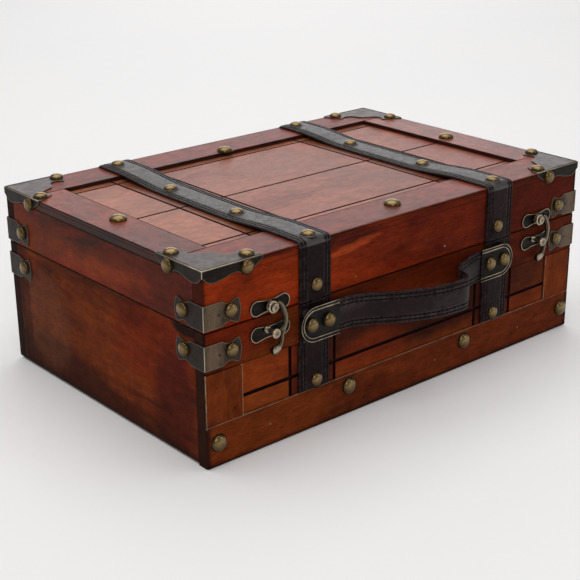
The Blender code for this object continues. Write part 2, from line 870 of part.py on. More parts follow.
def add_latch(side_name, x, lid):
    boss_end = latch_plate_outside + pivot_boss_height
    head_start = hook_outside + fit_gap
    pivot = turned(
        [
            (0, latch_plate_outside - nail_sunk),
            (pivot_boss_radius, latch_plate_outside - nail_sunk),
            (pivot_boss_radius, boss_end),
            (pivot_radius, boss_end),
            (pivot_radius, head_start),
            (pivot_head_radius, head_start),
            (pivot_head_radius, head_start + pivot_head_height / 2),
            (pivot_head_radius / 2, head_start + pivot_head_height),
            (0, head_start + pivot_head_height),
        ],
        pin_sides,
    )
    lobes = lobed_plate(x, latch_plate_middle)
    plate = combined(lobes, joined=[along_front(pivot, x, pivot_height)])
    add_part(f"latch_plate_{side_name}", plate, "dark_steel", lid, smooth=True)

    neck = latch_plate_outside + stud_reach
    stud = turned(
        [
            (0, latch_plate_outside - nail_sunk),
            (stud_radius, latch_plate_outside - nail_sunk),
            (stud_radius, neck),
            (stud_head_radius, neck),
            (stud_head_radius, neck + stud_head_height / 2),
            (stud_head_radius / 2, neck + stud_head_height),
            (0, neck + stud_head_height),
        ],
        pin_sides,
    )
    stud_place = (x - stud_side, catch_height + stud_above_plate_middle)
    catch = combined(lobed_plate(x, catch_height), joined=[along_front(stud, *stud_place)])
    add_part(f"latch_catch_{side_name}", catch, "dark_steel", smooth=True)

    axis = add_axis(f"latch_hook_{side_name}_axis", (x, front, pivot_height), lid)
    arm = [(x + a * hook_reach, pivot_height + b * hook_reach) for a, b in hook_arm_shares]
    spur = [(x + a * hook_reach, pivot_height + b * hook_reach) for a, b in hook_spur_shares]
    near = front - hook_inside
    far = front - hook_outside
    ball = turned(
        [
            (
                hook_ball_radius * sin(pi * step / arc_steps),
                -hook_ball_radius * cos(pi * step / arc_steps),
            )
            for step in range(arc_steps + 1)
        ],
        pin_sides,
    )
    bmesh.ops.translate(ball, verts=ball.verts, vec=(arm[-1][0], (near + far) / 2, arm[-1][1]))
    ring = rod(hook_ring_radius, hook_inside, hook_outside, pin_sides)
    eye = rod(
        pivot_radius + pivot_clearance, hook_inside - cut_overrun, hook_outside + cut_overrun, pin_sides
    )
    hook = combined(
        prism(ribbon(arm, hook_arm_width), "Y", near, far),
        joined=[
            along_front(ring, x, pivot_height),
            prism(ribbon(spur, hook_spur_width), "Y", near, far),
            ball,
        ],
        cut=[along_front(eye, x, pivot_height)],
    )
    add_part(f"latch_hook_{side_name}", hook, "dark_steel", axis, smooth=True)


# Handle


def handle_stations():
    """The handle strap's middle line with its half width, rounded off under the two end plates."""
    round_end = handle_width / 2
    left = handle_left_plate + handle_plate_length / 2
    right = handle_right_plate - handle_plate_length / 2
    shares = smooth_route(handle_route_shares, route_steps)
    bow = [(left + (right - left) * a, handle_line - handle_reach * b) for a, b in shares]
    stations = [(point, round_end) for point in bow]
    first = []
    last = []
    for step in range(1, bend_steps + 1):
        angle = pi / 2 * step / (bend_steps + 1)
        half_width = round_end * sin(angle)
        inward = handle_end_inset + round_end * (1 - cos(angle))
        left_end = handle_left_plate - handle_plate_length / 2 + inward
        right_end = handle_right_plate + handle_plate_length / 2 - inward
        first.append(((left_end, handle_line), half_width))
        last.append(((right_end, handle_line), half_width))
    return first + stations + last[::-1]


def handle_strap(low_x=None, high_x=None):
    """The handle strap, whole or cut off square to X."""
    stations = handle_stations()
    line = [point for point, half_width in stations]
    outer = offset_line(line, -handle_thickness / 2)
    inner = offset_line(line, handle_thickness / 2)
    shape = bmesh.new()
    rings = []
    for index, (point, half_width) in enumerate(stations):
        ring = []
        for (x, y), z in (
            (outer[index], -half_width),
            (outer[index], half_width),
            (inner[index], half_width),
            (inner[index], -half_width),
        ):
            ring.append(shape.verts.new((x, y, handle_height + z)))
        rings.append(ring)
    for before, after in zip(rings, rings[1:]):
        for corner in range(4):
            following = (corner + 1) % 4
            shape.faces.new(
                (before[corner], before[following], after[following], after[corner])
            )
    shape.faces.new(rings[0][::-1])
    shape.faces.new(rings[-1])
    bmesh.ops.recalc_face_normals(shape, faces=shape.faces)
    for limit, normal in ((low_x, -1), (high_x, 1)):
        if limit is None:
            continue
        cut = bmesh.ops.bisect_plane(
            shape,
            geom=shape.verts[:] + shape.edges[:] + shape.faces[:],
            plane_co=(limit, 0, 0),
            plane_no=(normal, 0, 0),
            clear_outer=True,
        )
        rim = [item for item in cut["geom_cut"] if isinstance(item, bmesh.types.BMEdge)]
        bmesh.ops.contextual_create(shape, geom=rim)
    bmesh.ops.recalc_face_normals(shape, faces=shape.faces)
    return shape


def add_handle():
    left_cut = handle_left_plate + handle_plate_length / 2 + handle_tab_length
    right_cut = handle_right_plate - handle_plate_length / 2 - handle_tab_length
    left_end = handle_strap(high_x=left_cut - fit_gap / 2)
    right_end = handle_strap(low_x=right_cut + fit_gap / 2)
    add_part("handle_end_left", left_end, "leather", smooth=True)
    add_part("handle_end_right", right_end, "leather", smooth=True)
    axis = add_axis("handle_axis", (handle_plate_shift, handle_line, handle_height))
    bow = handle_strap(low_x=left_cut + fit_gap / 2, high_x=right_cut - fit_gap / 2)
    add_part("handle_bow", bow, "leather", axis, smooth=True)

    radius = handle_plate_width / 2
    for name, middle, side in (
        ("handle_plate_left", handle_left_plate, -1),
        ("handle_plate_right", handle_right_plate, 1),
    ):
        centre = middle + side * (handle_plate_length / 2 - radius)
        inner = middle - side * handle_plate_length / 2
        outline = []
        for a, b in arc((0, 0), radius, -0.5, 0.5, arc_steps * 2):
            outline.append((centre + side * a, handle_plate_height + b))
        outline += [(inner, handle_plate_height + radius), (inner, handle_plate_height - radius)]
        near = front - handle_plate_inside
        far = near - handle_plate_thickness
        nails = []
        for step in (-1, 1):
            nail_x = middle + step * handle_nail_spacing / 2
            nails.append(small_nail((0, -1, 0), (nail_x, far, handle_plate_height)))
        plate = combined(prism(outline, "Y", near, far), joined=nails)
        add_part(name, plate, "bronze", smooth=True)


# Hinges


def hinge_leaf(x, rises, spans):
    """A leaf with its knuckles. It rises from the axis when rises is 1 and hangs from it when -1."""
    clear = hinge_barrel_radius + fit_gap
    y = (back + fit_gap, back + fit_gap + hinge_leaf_thickness)
    near = hinge_axis_z + rises * clear
    far = hinge_axis_z + rises * hinge_leaf_height
    ends = (x - hinge_length / 2, x + hinge_length / 2)
    leaf = block(ends, y, sorted((near, far)))
    joined = []
    holes = []
    for low, high in spans:
        z = sorted((hinge_axis_z, near + rises * hinge_leaf_thickness))
        joined.append(block((low, high), y, z))
        barrel = rod(hinge_barrel_radius, low, high, knuckle_sides)
        joined.append(turned_to(barrel, (1, 0, 0), (0, hinge_axis_y, hinge_axis_z)))
    bore = rod(
        hinge_pin_radius + hinge_pin_clearance, ends[0] - cut_overrun, ends[1] + cut_overrun, pin_sides
    )
    holes.append(turned_to(bore, (1, 0, 0), (0, hinge_axis_y, hinge_axis_z)))
    return combined(leaf, joined=joined, cut=holes)


def add_hinges(lid):
    half = hinge_length / 2
    knuckle = half * hinge_middle_knuckle_share
    for name, side in (("left", -1), ("right", 1)):
        x = side * (half_length - hinge_from_end)
        outer_spans = [(x - half, x - knuckle - fit_gap), (x + knuckle + fit_gap, x + half)]
        base_leaf = hinge_leaf(x, -1, outer_spans)
        add_part(f"hinge_base_leaf_{name}", base_leaf, "dark_steel", smooth=True)
        middle_span = [(x - knuckle, x + knuckle)]
        lid_leaf = hinge_leaf(x, 1, middle_span)
        add_part(f"hinge_lid_leaf_{name}", lid_leaf, "dark_steel", lid, smooth=True)
        pin = rod(hinge_pin_radius, x - half, x + half, pin_sides)
        turned_to(pin, (1, 0, 0), (0, hinge_axis_y, hinge_axis_z))
        add_part(f"hinge_pin_{name}", pin, "dark_steel", smooth=True)


def main():
    clear_scene()
    lid = add_axis("lid_axis", (0, hinge_axis_y, hinge_axis_z))

    add_base_boards()
    add_front_frame()
    add_rail_nails()
    add_base_straps()
    corner_brackets(
        "base_bracket", seam_height - base_bracket_from_seam - bracket_height / 2
    )

    add_lid_boards(lid)
    add_top_panel(lid)
    add_top_frame(lid)
    add_top_nails(lid)
    add_lid_straps(lid)
    corner_caps(lid)
    corner_brackets(
        "lid_bracket", lid_bottom + lid_bracket_from_seam + bracket_height / 2, lid
    )

    add_latch("left", latch_left_x, lid)
    add_latch("right", latch_right_x, lid)
    add_handle()
    add_hinges(lid)


main()
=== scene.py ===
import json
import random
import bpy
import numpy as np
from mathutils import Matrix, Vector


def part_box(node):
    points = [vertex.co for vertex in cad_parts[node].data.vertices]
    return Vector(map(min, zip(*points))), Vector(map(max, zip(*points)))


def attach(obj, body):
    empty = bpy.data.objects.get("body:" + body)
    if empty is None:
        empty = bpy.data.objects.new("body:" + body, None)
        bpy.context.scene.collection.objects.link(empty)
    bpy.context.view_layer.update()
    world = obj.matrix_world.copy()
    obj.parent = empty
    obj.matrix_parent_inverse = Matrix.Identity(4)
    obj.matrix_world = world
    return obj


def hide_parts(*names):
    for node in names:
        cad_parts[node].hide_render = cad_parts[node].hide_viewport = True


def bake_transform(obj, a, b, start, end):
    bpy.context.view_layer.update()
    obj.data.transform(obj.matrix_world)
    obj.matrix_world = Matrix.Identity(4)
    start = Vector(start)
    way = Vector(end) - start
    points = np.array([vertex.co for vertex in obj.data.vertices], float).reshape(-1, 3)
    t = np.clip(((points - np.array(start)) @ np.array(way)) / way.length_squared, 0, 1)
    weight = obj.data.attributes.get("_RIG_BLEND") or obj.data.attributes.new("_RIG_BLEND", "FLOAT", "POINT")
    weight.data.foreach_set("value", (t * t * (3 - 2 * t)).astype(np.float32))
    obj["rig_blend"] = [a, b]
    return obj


bl_info = {
    "name": "Wooden travelling chest",
    "version": (1, 0, 0),
    "blender": (4, 5, 0),
    "location": "View3D > Sidebar > Chest",
    "description": "Dresses the packed frame of a wooden chest with its boards, straps and fittings",
    "category": "Object",
}

from functools import cache
from math import cos, pi, radians, sin

import bmesh
import bpy
from bpy.props import FloatProperty, FloatVectorProperty, PointerProperty
from mathutils import Matrix, Vector

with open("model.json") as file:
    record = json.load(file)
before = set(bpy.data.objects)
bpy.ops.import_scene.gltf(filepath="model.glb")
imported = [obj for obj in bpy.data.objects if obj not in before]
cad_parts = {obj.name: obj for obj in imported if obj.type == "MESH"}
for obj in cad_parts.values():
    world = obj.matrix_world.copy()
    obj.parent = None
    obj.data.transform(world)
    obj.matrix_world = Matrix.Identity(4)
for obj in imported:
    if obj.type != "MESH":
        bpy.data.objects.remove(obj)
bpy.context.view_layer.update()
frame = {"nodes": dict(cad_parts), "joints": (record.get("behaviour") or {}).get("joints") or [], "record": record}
body_of_node = {
    node: body
    for body, nodes in frame["record"]["behaviour"]["bodies"].items()
    for node in nodes
}

# Places read from the frame, in metres
low_corner, high_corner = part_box("base_front_bottom_rail")
half_length = high_corner.x
front = low_corner.y
bottom_rail_top = high_corner.z
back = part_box("base_back_board")[1].y
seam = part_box("base_back_board")[1].z
lid_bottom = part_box("lid_back_board")[0].z
box_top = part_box("lid_top_front_rail")[1].z
panel_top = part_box("lid_top_panel")[1].z
front_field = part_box("base_front_board")[0].y
top_rail_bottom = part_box("base_front_top_rail")[0].z
stile_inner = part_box("base_front_stile_left")[1].x
inner_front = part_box("lid_top_front_rail")[1].y
inner_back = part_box("lid_top_back_rail")[0].y
inner_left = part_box("lid_top_left_stile")[1].x
inner_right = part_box("lid_top_right_stile")[0].x
hands = ("left", "right")
strap_boxes = [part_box(f"lid_strap_{side}") for side in hands]
strap_middles = [(low.x + high.x) / 2 for low, high in strap_boxes]
strap_half = (strap_boxes[0][1].x - strap_boxes[0][0].x) / 2

# Sizes of the finished pieces, in metres
mm = 0.001
fine = 0.01 * mm
gap = 0.3 * mm
flat_ring = 0.3 * mm
stile_width = 26.3 * mm
board = 8.5 * mm
panel_bottom = panel_top - 3.4 * mm
strap_to_groove = 17.5 * mm
top_groove, top_groove_depth = 1.5 * mm, 0.9 * mm
front_groove, front_groove_depth = 2.2 * mm, 1.3 * mm
groove_columns = [m + s * strap_to_groove for m in strap_middles for s in (-1, 1)]
first_line, last_line = inner_front + 10.2 * mm, inner_back - 6.9 * mm
plank_lines = [first_line, (first_line + last_line) / 2 - 2 * mm, last_line]
front_line = bottom_rail_top + 11.8 * mm
small_radius, small_height = 4.7 * mm, 2.7 * mm
large_radius, large_height = 5.6 * mm, 3.4 * mm
strap_thickness = 1.9 * mm
handle_width, handle_thickness = 20.5 * mm, 2.4 * mm
sheet = 0.5 * mm
skin = gap + sheet


def colour(name, description, value):
    settings = {"subtype": "COLOR", "size": 3, "min": 0, "max": 1}
    return FloatVectorProperty(name=name, description=description, default=value, **settings)


def length(name, description, value):
    settings = {"subtype": "DISTANCE", "unit": "LENGTH", "min": 0}
    return FloatProperty(name=name, description=description, default=value, **settings)


def lamp(name, description, value):
    return FloatProperty(name=name, description=description, default=value, unit="POWER", min=0)


class ChestWood(bpy.types.PropertyGroup):
    """Stains and edges of the boards."""

    red: colour("Red stain", "Stain of the lid's front", (0.180, 0.018, 0.004))
    orange: colour("Orange stain", "Bright streaks in the stain", (0.262, 0.031, 0.006))
    # Maroon also paints shade on the right of the lid's front and of the base's top rail.
    maroon: colour("Maroon stain", "Dark clouds in the red stain", (0.060, 0.010, 0.006))
    amber: colour("Amber stain", "Stain of the base's front field", (0.180, 0.036, 0.007))
    brown: colour("Brown stain", "Stain of the base's frame and sides", (0.115, 0.021, 0.006))
    # Umber also paints the handle's shadow on the base's front.
    umber: colour("Umber stain", "Dark clouds in the brown stain", (0.045, 0.011, 0.006))
    rose: colour("Rose stain", "Stain of the frame on the lid's top", (0.208, 0.032, 0.018))
    tan: colour("Tan stain", "Stain of the panel on the lid's top", (0.300, 0.092, 0.055))
    # The burnt colour also paints shade at the feet of steps.
    burnt: colour("Burnt edge", "Darkened wood along the edges", (0.012, 0.006, 0.005))
    # The bare colour also paints highlights along edges.
    bare: colour("Bare edge", "Wood where the stain is rubbed off", (0.480, 0.340, 0.220))
    inside: colour("Inside", "Lightly stained wood inside the chest", (0.230, 0.105, 0.048))
    groove: colour("Groove", "Stain that has gathered in the grooves", (0.014, 0.0035, 0.003))
    edge_round: length("Edge rounding", "Rounding of the boards' edges", 0.00022)
    foot_round: length("Foot rounding", "Rounding of the edges that the chest stands on", 0.0028)
    strip_round: length("Strip rounding", "Rounding of the thin strips' edges", 0.00025)
    groove_lip: length("Groove lip", "Rounding of the grooves' edges", 0.00018)


class ChestLeather(bpy.types.PropertyGroup):
    """Straps and handle."""

    hide: colour("Leather", "Dyed leather of the straps", (0.0150, 0.0062, 0.0060))
    # Rubbed leather also paints the highlight along the straps' edges.
    rubbed: colour("Rubbed leather", "Leather where it is rubbed and bent", (0.075, 0.058, 0.058))
    deep: colour("Deep dye", "Darker patches in the dye", (0.0045, 0.0023, 0.0023))
    thread: colour("Thread", "Thread of the stitching", (0.0025, 0.0016, 0.0016))
    faded: colour("Faded thread", "Thread on the front and the handle", (0.0060, 0.0038, 0.0038))
    stitch_length: length("Stitch length", "Length of one stitch", 0.0022)
    stitch_pitch: length("Stitch pitch", "Distance from one stitch to the next", 0.0031)
    outer_row: length("Outer row", "Distance of the outer row of stitches from the edge", 0.0019)
    inner_row: length("Inner row", "Distance of the inner row of stitches from the edge", 0.0043)


class ChestMetal(bpy.types.PropertyGroup):
    """Bronze fittings, latches and nails."""

    plate: colour("Bronze plate", "Plate of the corner brackets", (0.032, 0.021, 0.013))
    patina: colour("Patina", "Dark patina in the bronze", (0.012, 0.008, 0.006))
    # The bright rim colour also paints highlights along the metal's edges.
    rim: colour("Bright rim", "Metal polished at the edges", (0.420, 0.350, 0.250))
    # The shine colour lightens the brackets' bronze near the corners.
    shine: colour("Shine", "Bronze rubbed bright near the corners", (0.185, 0.122, 0.078))
    steel: colour("Latch steel", "Plating of the hooks and studs", (0.048, 0.033, 0.018))
    dark_steel: colour("Dark steel", "Recess of the latch plates", (0.0070, 0.0055, 0.0045))
    # Brass is the painted highlight on the nails' domes; old brass is their darker foot and, on nails that face
    # the front, painted shade on the lower half.
    brass: colour("Brass", "Polished top of the nails", (0.330, 0.225, 0.100))
    old_brass: colour("Old brass", "Foot of the nails' domes", (0.050, 0.032, 0.012))


class ChestStage(bpy.types.PropertyGroup):
    """Floor, lights and camera."""

    floor: colour("Floor", "Pale floor", (0.92, 0.92, 0.92))
    sky: FloatProperty(name="Surroundings", description="Brightness all round", default=0.36, min=0)
    top: lamp("Top light", "Power of the wide light overhead", 27)
    behind: lamp("Back light", "Power of the light that glances off the top", 5)
    key: lamp("Key light", "Power of the light at the front and left", 6)
    fill: lamp("Fill light", "Power of the light at the front and right", 1.2)
    lens: FloatProperty(
        name="Lens", description="Camera lens", default=80.713, subtype="DISTANCE_CAMERA"
    )


def wood():
    return bpy.context.scene.chest_wood


def leather():
    return bpy.context.scene.chest_leather


def metal():
    return bpy.context.scene.chest_metal


# Materials

touches = {
    "flame": (0.36, 0.060, 0.014),
    "low flame": (0.34, 0.055, 0.014),
    "tan pin": (0.34, 0.20, 0.12),
    "pale pin": (0.34, 0.24, 0.18),
    "grey pin": (0.20, 0.15, 0.12),
    # Painted shadow of the straps on the lid's top.
    "strip": (0.150, 0.040, 0.014),
    # Painted shade along the foot of the back rail on the lid's top.
    "honey": (0.24, 0.070, 0.028),
    "sand": (0.350, 0.115, 0.058),
    "peach": (0.330, 0.110, 0.068),
    "clay": (0.250, 0.066, 0.042),
    "mauve": (0.210, 0.056, 0.042),
    "cherry": (0.25, 0.045, 0.022),
    "plum": (0.14, 0.034, 0.024),
    "wine": (0.14, 0.030, 0.020),
    "smoke": (0.13, 0.034, 0.026),
    "blush": (0.27, 0.080, 0.055),
    "shadow": (0.125, 0.032, 0.024),
    "haze": (0.170, 0.056, 0.028),
}


def tint(value):
    """A colour as it is, or the colour of that name among the touches and the sidebar's groups."""
    if not isinstance(value, str):
        return value
    if value in touches:
        return touches[value]
    return next(getattr(g, value) for g in (wood(), leather(), metal()) if hasattr(g, value))


class Shading:
    """Adds nodes to one material. Coordinates are the object's own, in metres."""

    def __init__(self, name):
        self.material = bpy.data.materials.new(name)
        self.material.use_nodes = True
        self.tree = self.material.node_tree
        self.shader = self.tree.nodes["Principled BSDF"]
        self.place = self.add("TexCoord").outputs["Object"]

    def add(self, kind, inputs=None, **settings):
        node = self.tree.nodes.new("ShaderNode" + kind)
        for name, value in settings.items():
            setattr(node, name, value)
        for key, value in (inputs or {}).items():
            self.feed(node.inputs[key], value)
        return node

    def feed(self, socket, value):
        if isinstance(value, bpy.types.NodeSocket):
            self.tree.links.new(value, socket)
        elif socket.type == "RGBA" and len(value) == 3:
            socket.default_value = (*value, 1)
        else:
            socket.default_value = value

    def math(self, operation, *values, clamp=False):
        inputs = dict(enumerate(values))
        return self.add("Math", inputs, operation=operation, use_clamp=clamp).outputs[0]

    def times(self, first, second, clamp=False):
        return self.math("MULTIPLY", first, second, clamp=clamp)

    def scaled(self, value, factor, offset):
        return self.math("MULTIPLY_ADD", value, factor, offset)

    def fade(self, value, start, end, low=0.0, high=1.0):
        """Smooth step of a value from low at start to high at end."""
        inputs = dict(enumerate((value, start, end, low, high)))
        return self.add("MapRange", inputs, interpolation_type="SMOOTHSTEP").outputs[0]

    def mix(self, factor, first, second, blend_type="MIX"):
        inputs = {0: factor, 6: first, 7: second}
        settings = {"data_type": "RGBA", "blend_type": blend_type, "clamp_factor": True}
        return self.add("Mix", inputs, **settings).outputs[2]

    def shaded(self, base, shade):
        """A colour made darker or lighter by a shade."""
        grey = self.add("CombineXYZ", {0: shade, 1: shade, 2: shade}).outputs[0]
        return self.mix(1.0, base, grey, "MULTIPLY")

    def axis(self, name):
        return self.add("SeparateXYZ", {0: self.place}).outputs["XYZ".index(name)]

    def noise(self, scale, detail=2.0, roughness=0.5, stretch=(1, 1, 1), offset=(0, 0, 0), warp=0.0):
        mapping = self.add("Mapping", {"Vector": self.place, "Scale": stretch, "Location": offset})
        inputs = {"Vector": mapping.outputs[0], "Scale": scale, "Detail": detail}
        inputs |= {"Roughness": roughness, "Distortion": warp}
        return self.add("TexNoise", inputs).outputs[0]

    # Reads the attribute that lightens rubbed edges and also paints highlights.
    def rubbing_and_highlight(self):
        return self.add("Attribute", attribute_name="rubbing_and_highlight").outputs["Fac"]

    def spot(self, centre, reach, ragged, amount):
        """The amount inside an ellipsoid round a centre and zero outside it, with a ragged edge."""
        moved = self.add("VectorMath", {0: self.place, 1: centre}, operation="SUBTRACT")
        shrunk = self.add("VectorMath", {0: moved.outputs[0], 1: reach}, operation="DIVIDE")
        distance = self.add("VectorMath", {0: shrunk.outputs[0]}, operation="LENGTH")
        uneven = self.scaled(ragged, 0.9, distance.outputs["Value"])
        return self.fade(uneven, 1.75, 0.95, 0.0, amount)

    def step(self, axis, place, way=1):
        """Zero before a plane and one after it."""
        return self.fade(self.axis(axis), place - way * 0.4 * mm, place + way * 0.4 * mm)

    def near(self, axis, place, width, ragged=None):
        """One at a plane and zero at a distance from it, with an uneven edge."""
        away = self.math("ABSOLUTE", self.math("SUBTRACT", self.axis(axis), place))
        if ragged is not None:
            away = self.scaled(ragged, width * 0.9, away)
        return self.fade(away, width, 0.0)

    def bump(self, height, strength, distance, before=None):
        inputs = {"Strength": strength, "Distance": distance, "Height": height}
        if before is not None:
            inputs["Normal"] = before
        return self.add("Bump", inputs).outputs[0]

    def done(self, base, roughness, normal=None, metallic=0.0, gloss=0.5):
        self.feed(self.shader.inputs["Base Color"], base)
        self.feed(self.shader.inputs["Roughness"], roughness)
        if normal is not None:
            self.feed(self.shader.inputs["Normal"], normal)
        self.shader.inputs["Metallic"].default_value = metallic
        self.shader.inputs["Specular IOR Level"].default_value = gloss
        return self.material


def on_face(axis, place, rows):
    """Spots on a face across an axis. A row is (a, b, reach along a, reach along b, tint, amount),
    with a and b the other two axes, in millimetres."""
    across = "XYZ".index(axis)
    spots = []
    for a, b, reach_a, reach_b, name, amount in rows:
        centre, reach = [a * mm, b * mm], [reach_a * mm, reach_b * mm]
        centre.insert(across, place)
        reach.insert(across, 20 * mm)
        spots.append((centre, reach, name, amount))
    return spots


def stained_wood(
    name, grain, tones, spots=(), burns_and_painted_shade=(), lines=(), bands=(), seed=0.0, gloss=0.012, mottle=0.13
):
    """Stained and varnished wood. Tones name its light, middle and dark stain. Spots are (centre,
    reach, tint, amount); darkened stripes at burnt edges and painted shade at the feet of steps are
    (axis, place, width in millimetres, amount), lines are the same where an edge is lighter, rubbed
    bare and partly a painted highlight, and bands are (axis, low, high, tint, amount)."""
    s = Shading(name)

    def stretched(share):
        return [share if axis == grain else 1.0 for axis in "XYZ"]

    shift = (seed, seed * 1.7, seed * 0.6)
    fibre = s.noise(1300, 3, 0.6, stretched(0.12), shift)
    streak = s.noise(210, 4, 0.62, stretched(0.14), shift, 0.4)
    figure = s.noise(38, 4, 0.6, stretched(0.40), shift, 0.8)
    cloud = s.noise(17, 4, 0.6, stretched(0.6), (seed * 2.3, seed, seed), 0.8)
    ragged = s.noise(75, 5, 0.7, stretched(0.5), (seed, 3.1, seed), 0.5)
    ragged = s.math("SUBTRACT", ragged, 0.5)
    light, middle, dark = (tint(word) for word in tones.split())
    tone = s.scaled(streak, 0.35, s.times(figure, 0.65))
    base = s.mix(s.fade(tone, 0.36, 0.52), dark, middle)
    base = s.mix(s.fade(tone, 0.50, 0.66), base, light)
    for axis, low, high, stain, amount in bands:
        inside = s.times(s.step(axis, low), s.step(axis, high, -1))
        base = s.mix(s.times(inside, amount), base, tint(stain))
    for centre, reach, stain, amount in spots:
        base = s.mix(s.spot(centre, reach, ragged, amount), base, tint(stain))
    shade = s.scaled(streak, 0.30, s.scaled(fibre, 0.55, 0.56))
    shade = s.times(shade, s.fade(cloud, 0.30, 0.62, 0.76, 1.10))
    patches = s.noise(160, 4, 0.65, stretched(0.65), (seed, 5.0, seed), 0.5)
    shade = s.times(shade, s.fade(patches, 0.36, 0.64, 1 - mottle, 1 + mottle))
    pores = s.fade(s.noise(1900, 2, 0.5, stretched(0.10), (3.0, seed, 1.0)), 0.58, 0.70)
    base = s.shaded(base, s.times(shade, s.fade(pores, 0.0, 1.0, 1.0, 0.62)))
    # Darkens the wood near planes: burnt edges, and painted shade at the feet of steps.
    for axis, place, width, amount in burns_and_painted_shade:
        mask = s.near(axis, place, width * mm, ragged)
        base = s.mix(s.times(mask, amount), base, wood().burnt)
    rubbed = s.fade(s.noise(260, 4, 0.7, stretched(0.4), (seed, 9.0, 2.0)), 0.38, 0.56)
    # Lightens edges that are rubbed bare, partly as a painted highlight.
    for axis, place, width, amount in lines:
        mask = s.times(s.near(axis, place, width * mm), s.rubbing_and_highlight())
        mask = s.times(mask, s.scaled(rubbed, 0.6, 0.4))
        base = s.mix(s.times(mask, amount), base, wood().bare)
    rough = s.scaled(pores, 0.10, s.scaled(streak, 0.16, 0.28))
    relief = s.scaled(streak, 1.1, s.scaled(pores, -0.9, fibre))
    normal = s.bump(figure, 0.20, 0.5 * mm, s.bump(relief, 0.25, 0.12 * mm))
    return s.done(base, rough, normal, gloss=gloss)


def leather_finish(name, gloss, spots=()):
    """Dyed leather, lighter on its edges, rubbed and partly a painted highlight, and round the
    given (centre, reach, amount) spots.
    """
    s = Shading(name)
    inputs = {"Vector": s.place, "Scale": 1150.0, "Randomness": 1.0}
    cells = s.add("TexVoronoi", inputs, feature="DISTANCE_TO_EDGE").outputs[0]
    creases = s.noise(430, 5, 0.68, warp=0.6)
    dye = s.noise(70, 4, 0.6)
    scuffs = s.noise(210, 5, 0.72, offset=(4, 2, 7), warp=0.3)
    base = s.mix(s.fade(dye, 0.35, 0.65, 0.0, 0.6), leather().hide, leather().deep)
    for centre, reach, amount in spots:
        mask = s.spot(centre, reach, s.math("SUBTRACT", scuffs, 0.5), amount)
        mask = s.times(mask, s.fade(scuffs, 0.40, 0.62, 0.15, 1.0))
        base = s.mix(mask, base, leather().rubbed)
    # Rubbed colour along the edges, also as a painted highlight.
    rubbing_and_highlight = s.times(s.rubbing_and_highlight(), s.fade(scuffs, 0.42, 0.60, 0.0, 0.9))
    base = s.mix(rubbing_and_highlight, base, leather().rubbed)
    specks = s.fade(s.noise(620, 2, 0.5, offset=(5, 8, 1)), 0.71, 0.78, 0.0, 0.8)
    base = s.mix(specks, base, leather().rubbed)
    rough = s.fade(scuffs, 0.3, 0.7, 0.22, 0.46)
    height = s.scaled(s.fade(cells, 0.0, 0.12), 0.45, s.times(creases, 1.3))
    normal = s.bump(height, 0.60, 0.22 * mm)
    normal = s.bump(s.noise(160, 3, 0.6, offset=(1, 6, 4), warp=0.8), 0.45, 1.0 * mm, normal)
    normal = s.bump(dye, 0.35, 1.8 * mm, normal)
    return s.done(base, rough, normal, gloss=gloss)


# Plate, patina, direction of the brush lines, their strength, lightening of rubbed edges and painted edge
# highlights, roughness
bronzes = {
    # The caps' tops get a grey copy of the bronze as a painted sheen.
    "cap_top_bronze_painted_sheen": ((0.085, 0.070, 0.069), (0.055, 0.045, 0.044), "X", 0.08, 0.35, 0.38),
    "cap_side_bronze": ((0.012, 0.008, 0.006), (0.007, 0.005, 0.004), "X", 0.03, 0.35, 0.44),
    "bracket_bronze": ("plate", "patina", "Z", 0.09, 0.35, 0.42),
    # The brackets' front and side legs are lit and shaded copies of one bronze; the side copy is darker as painted
    # shade.
    "bracket_side_bronze_painted_shade": ((0.017, 0.010, 0.007), "patina", "Z", 0.03, 0.35, 0.44),
    "polished_fold": ((0.60, 0.50, 0.36), (0.16, 0.12, 0.08), "X", 0.1, 0.55, 0.32),
    "polished_rim": ("rim", (0.040, 0.027, 0.018), "X", 0.2, 0.9, 0.30),
    "latch_plate_steel": ("dark_steel", (0.004, 0.003, 0.003), "X", 0.03, 0.1, 0.42),
    "latch_steel": ("steel", (0.012, 0.009, 0.006), "Z", 0.10, 1.0, 0.28),
    "handle_plate_bronze": ((0.010, 0.008, 0.007), (0.006, 0.005, 0.005), "X", 0.03, 0.4, 0.46),
    "hinge_steel": ((0.110, 0.092, 0.075), "patina", "X", 0.15, 0.8, 0.42),
    "screw_steel": ("steel", "dark_steel", "X", 0.15, 0.8, 0.36),
}


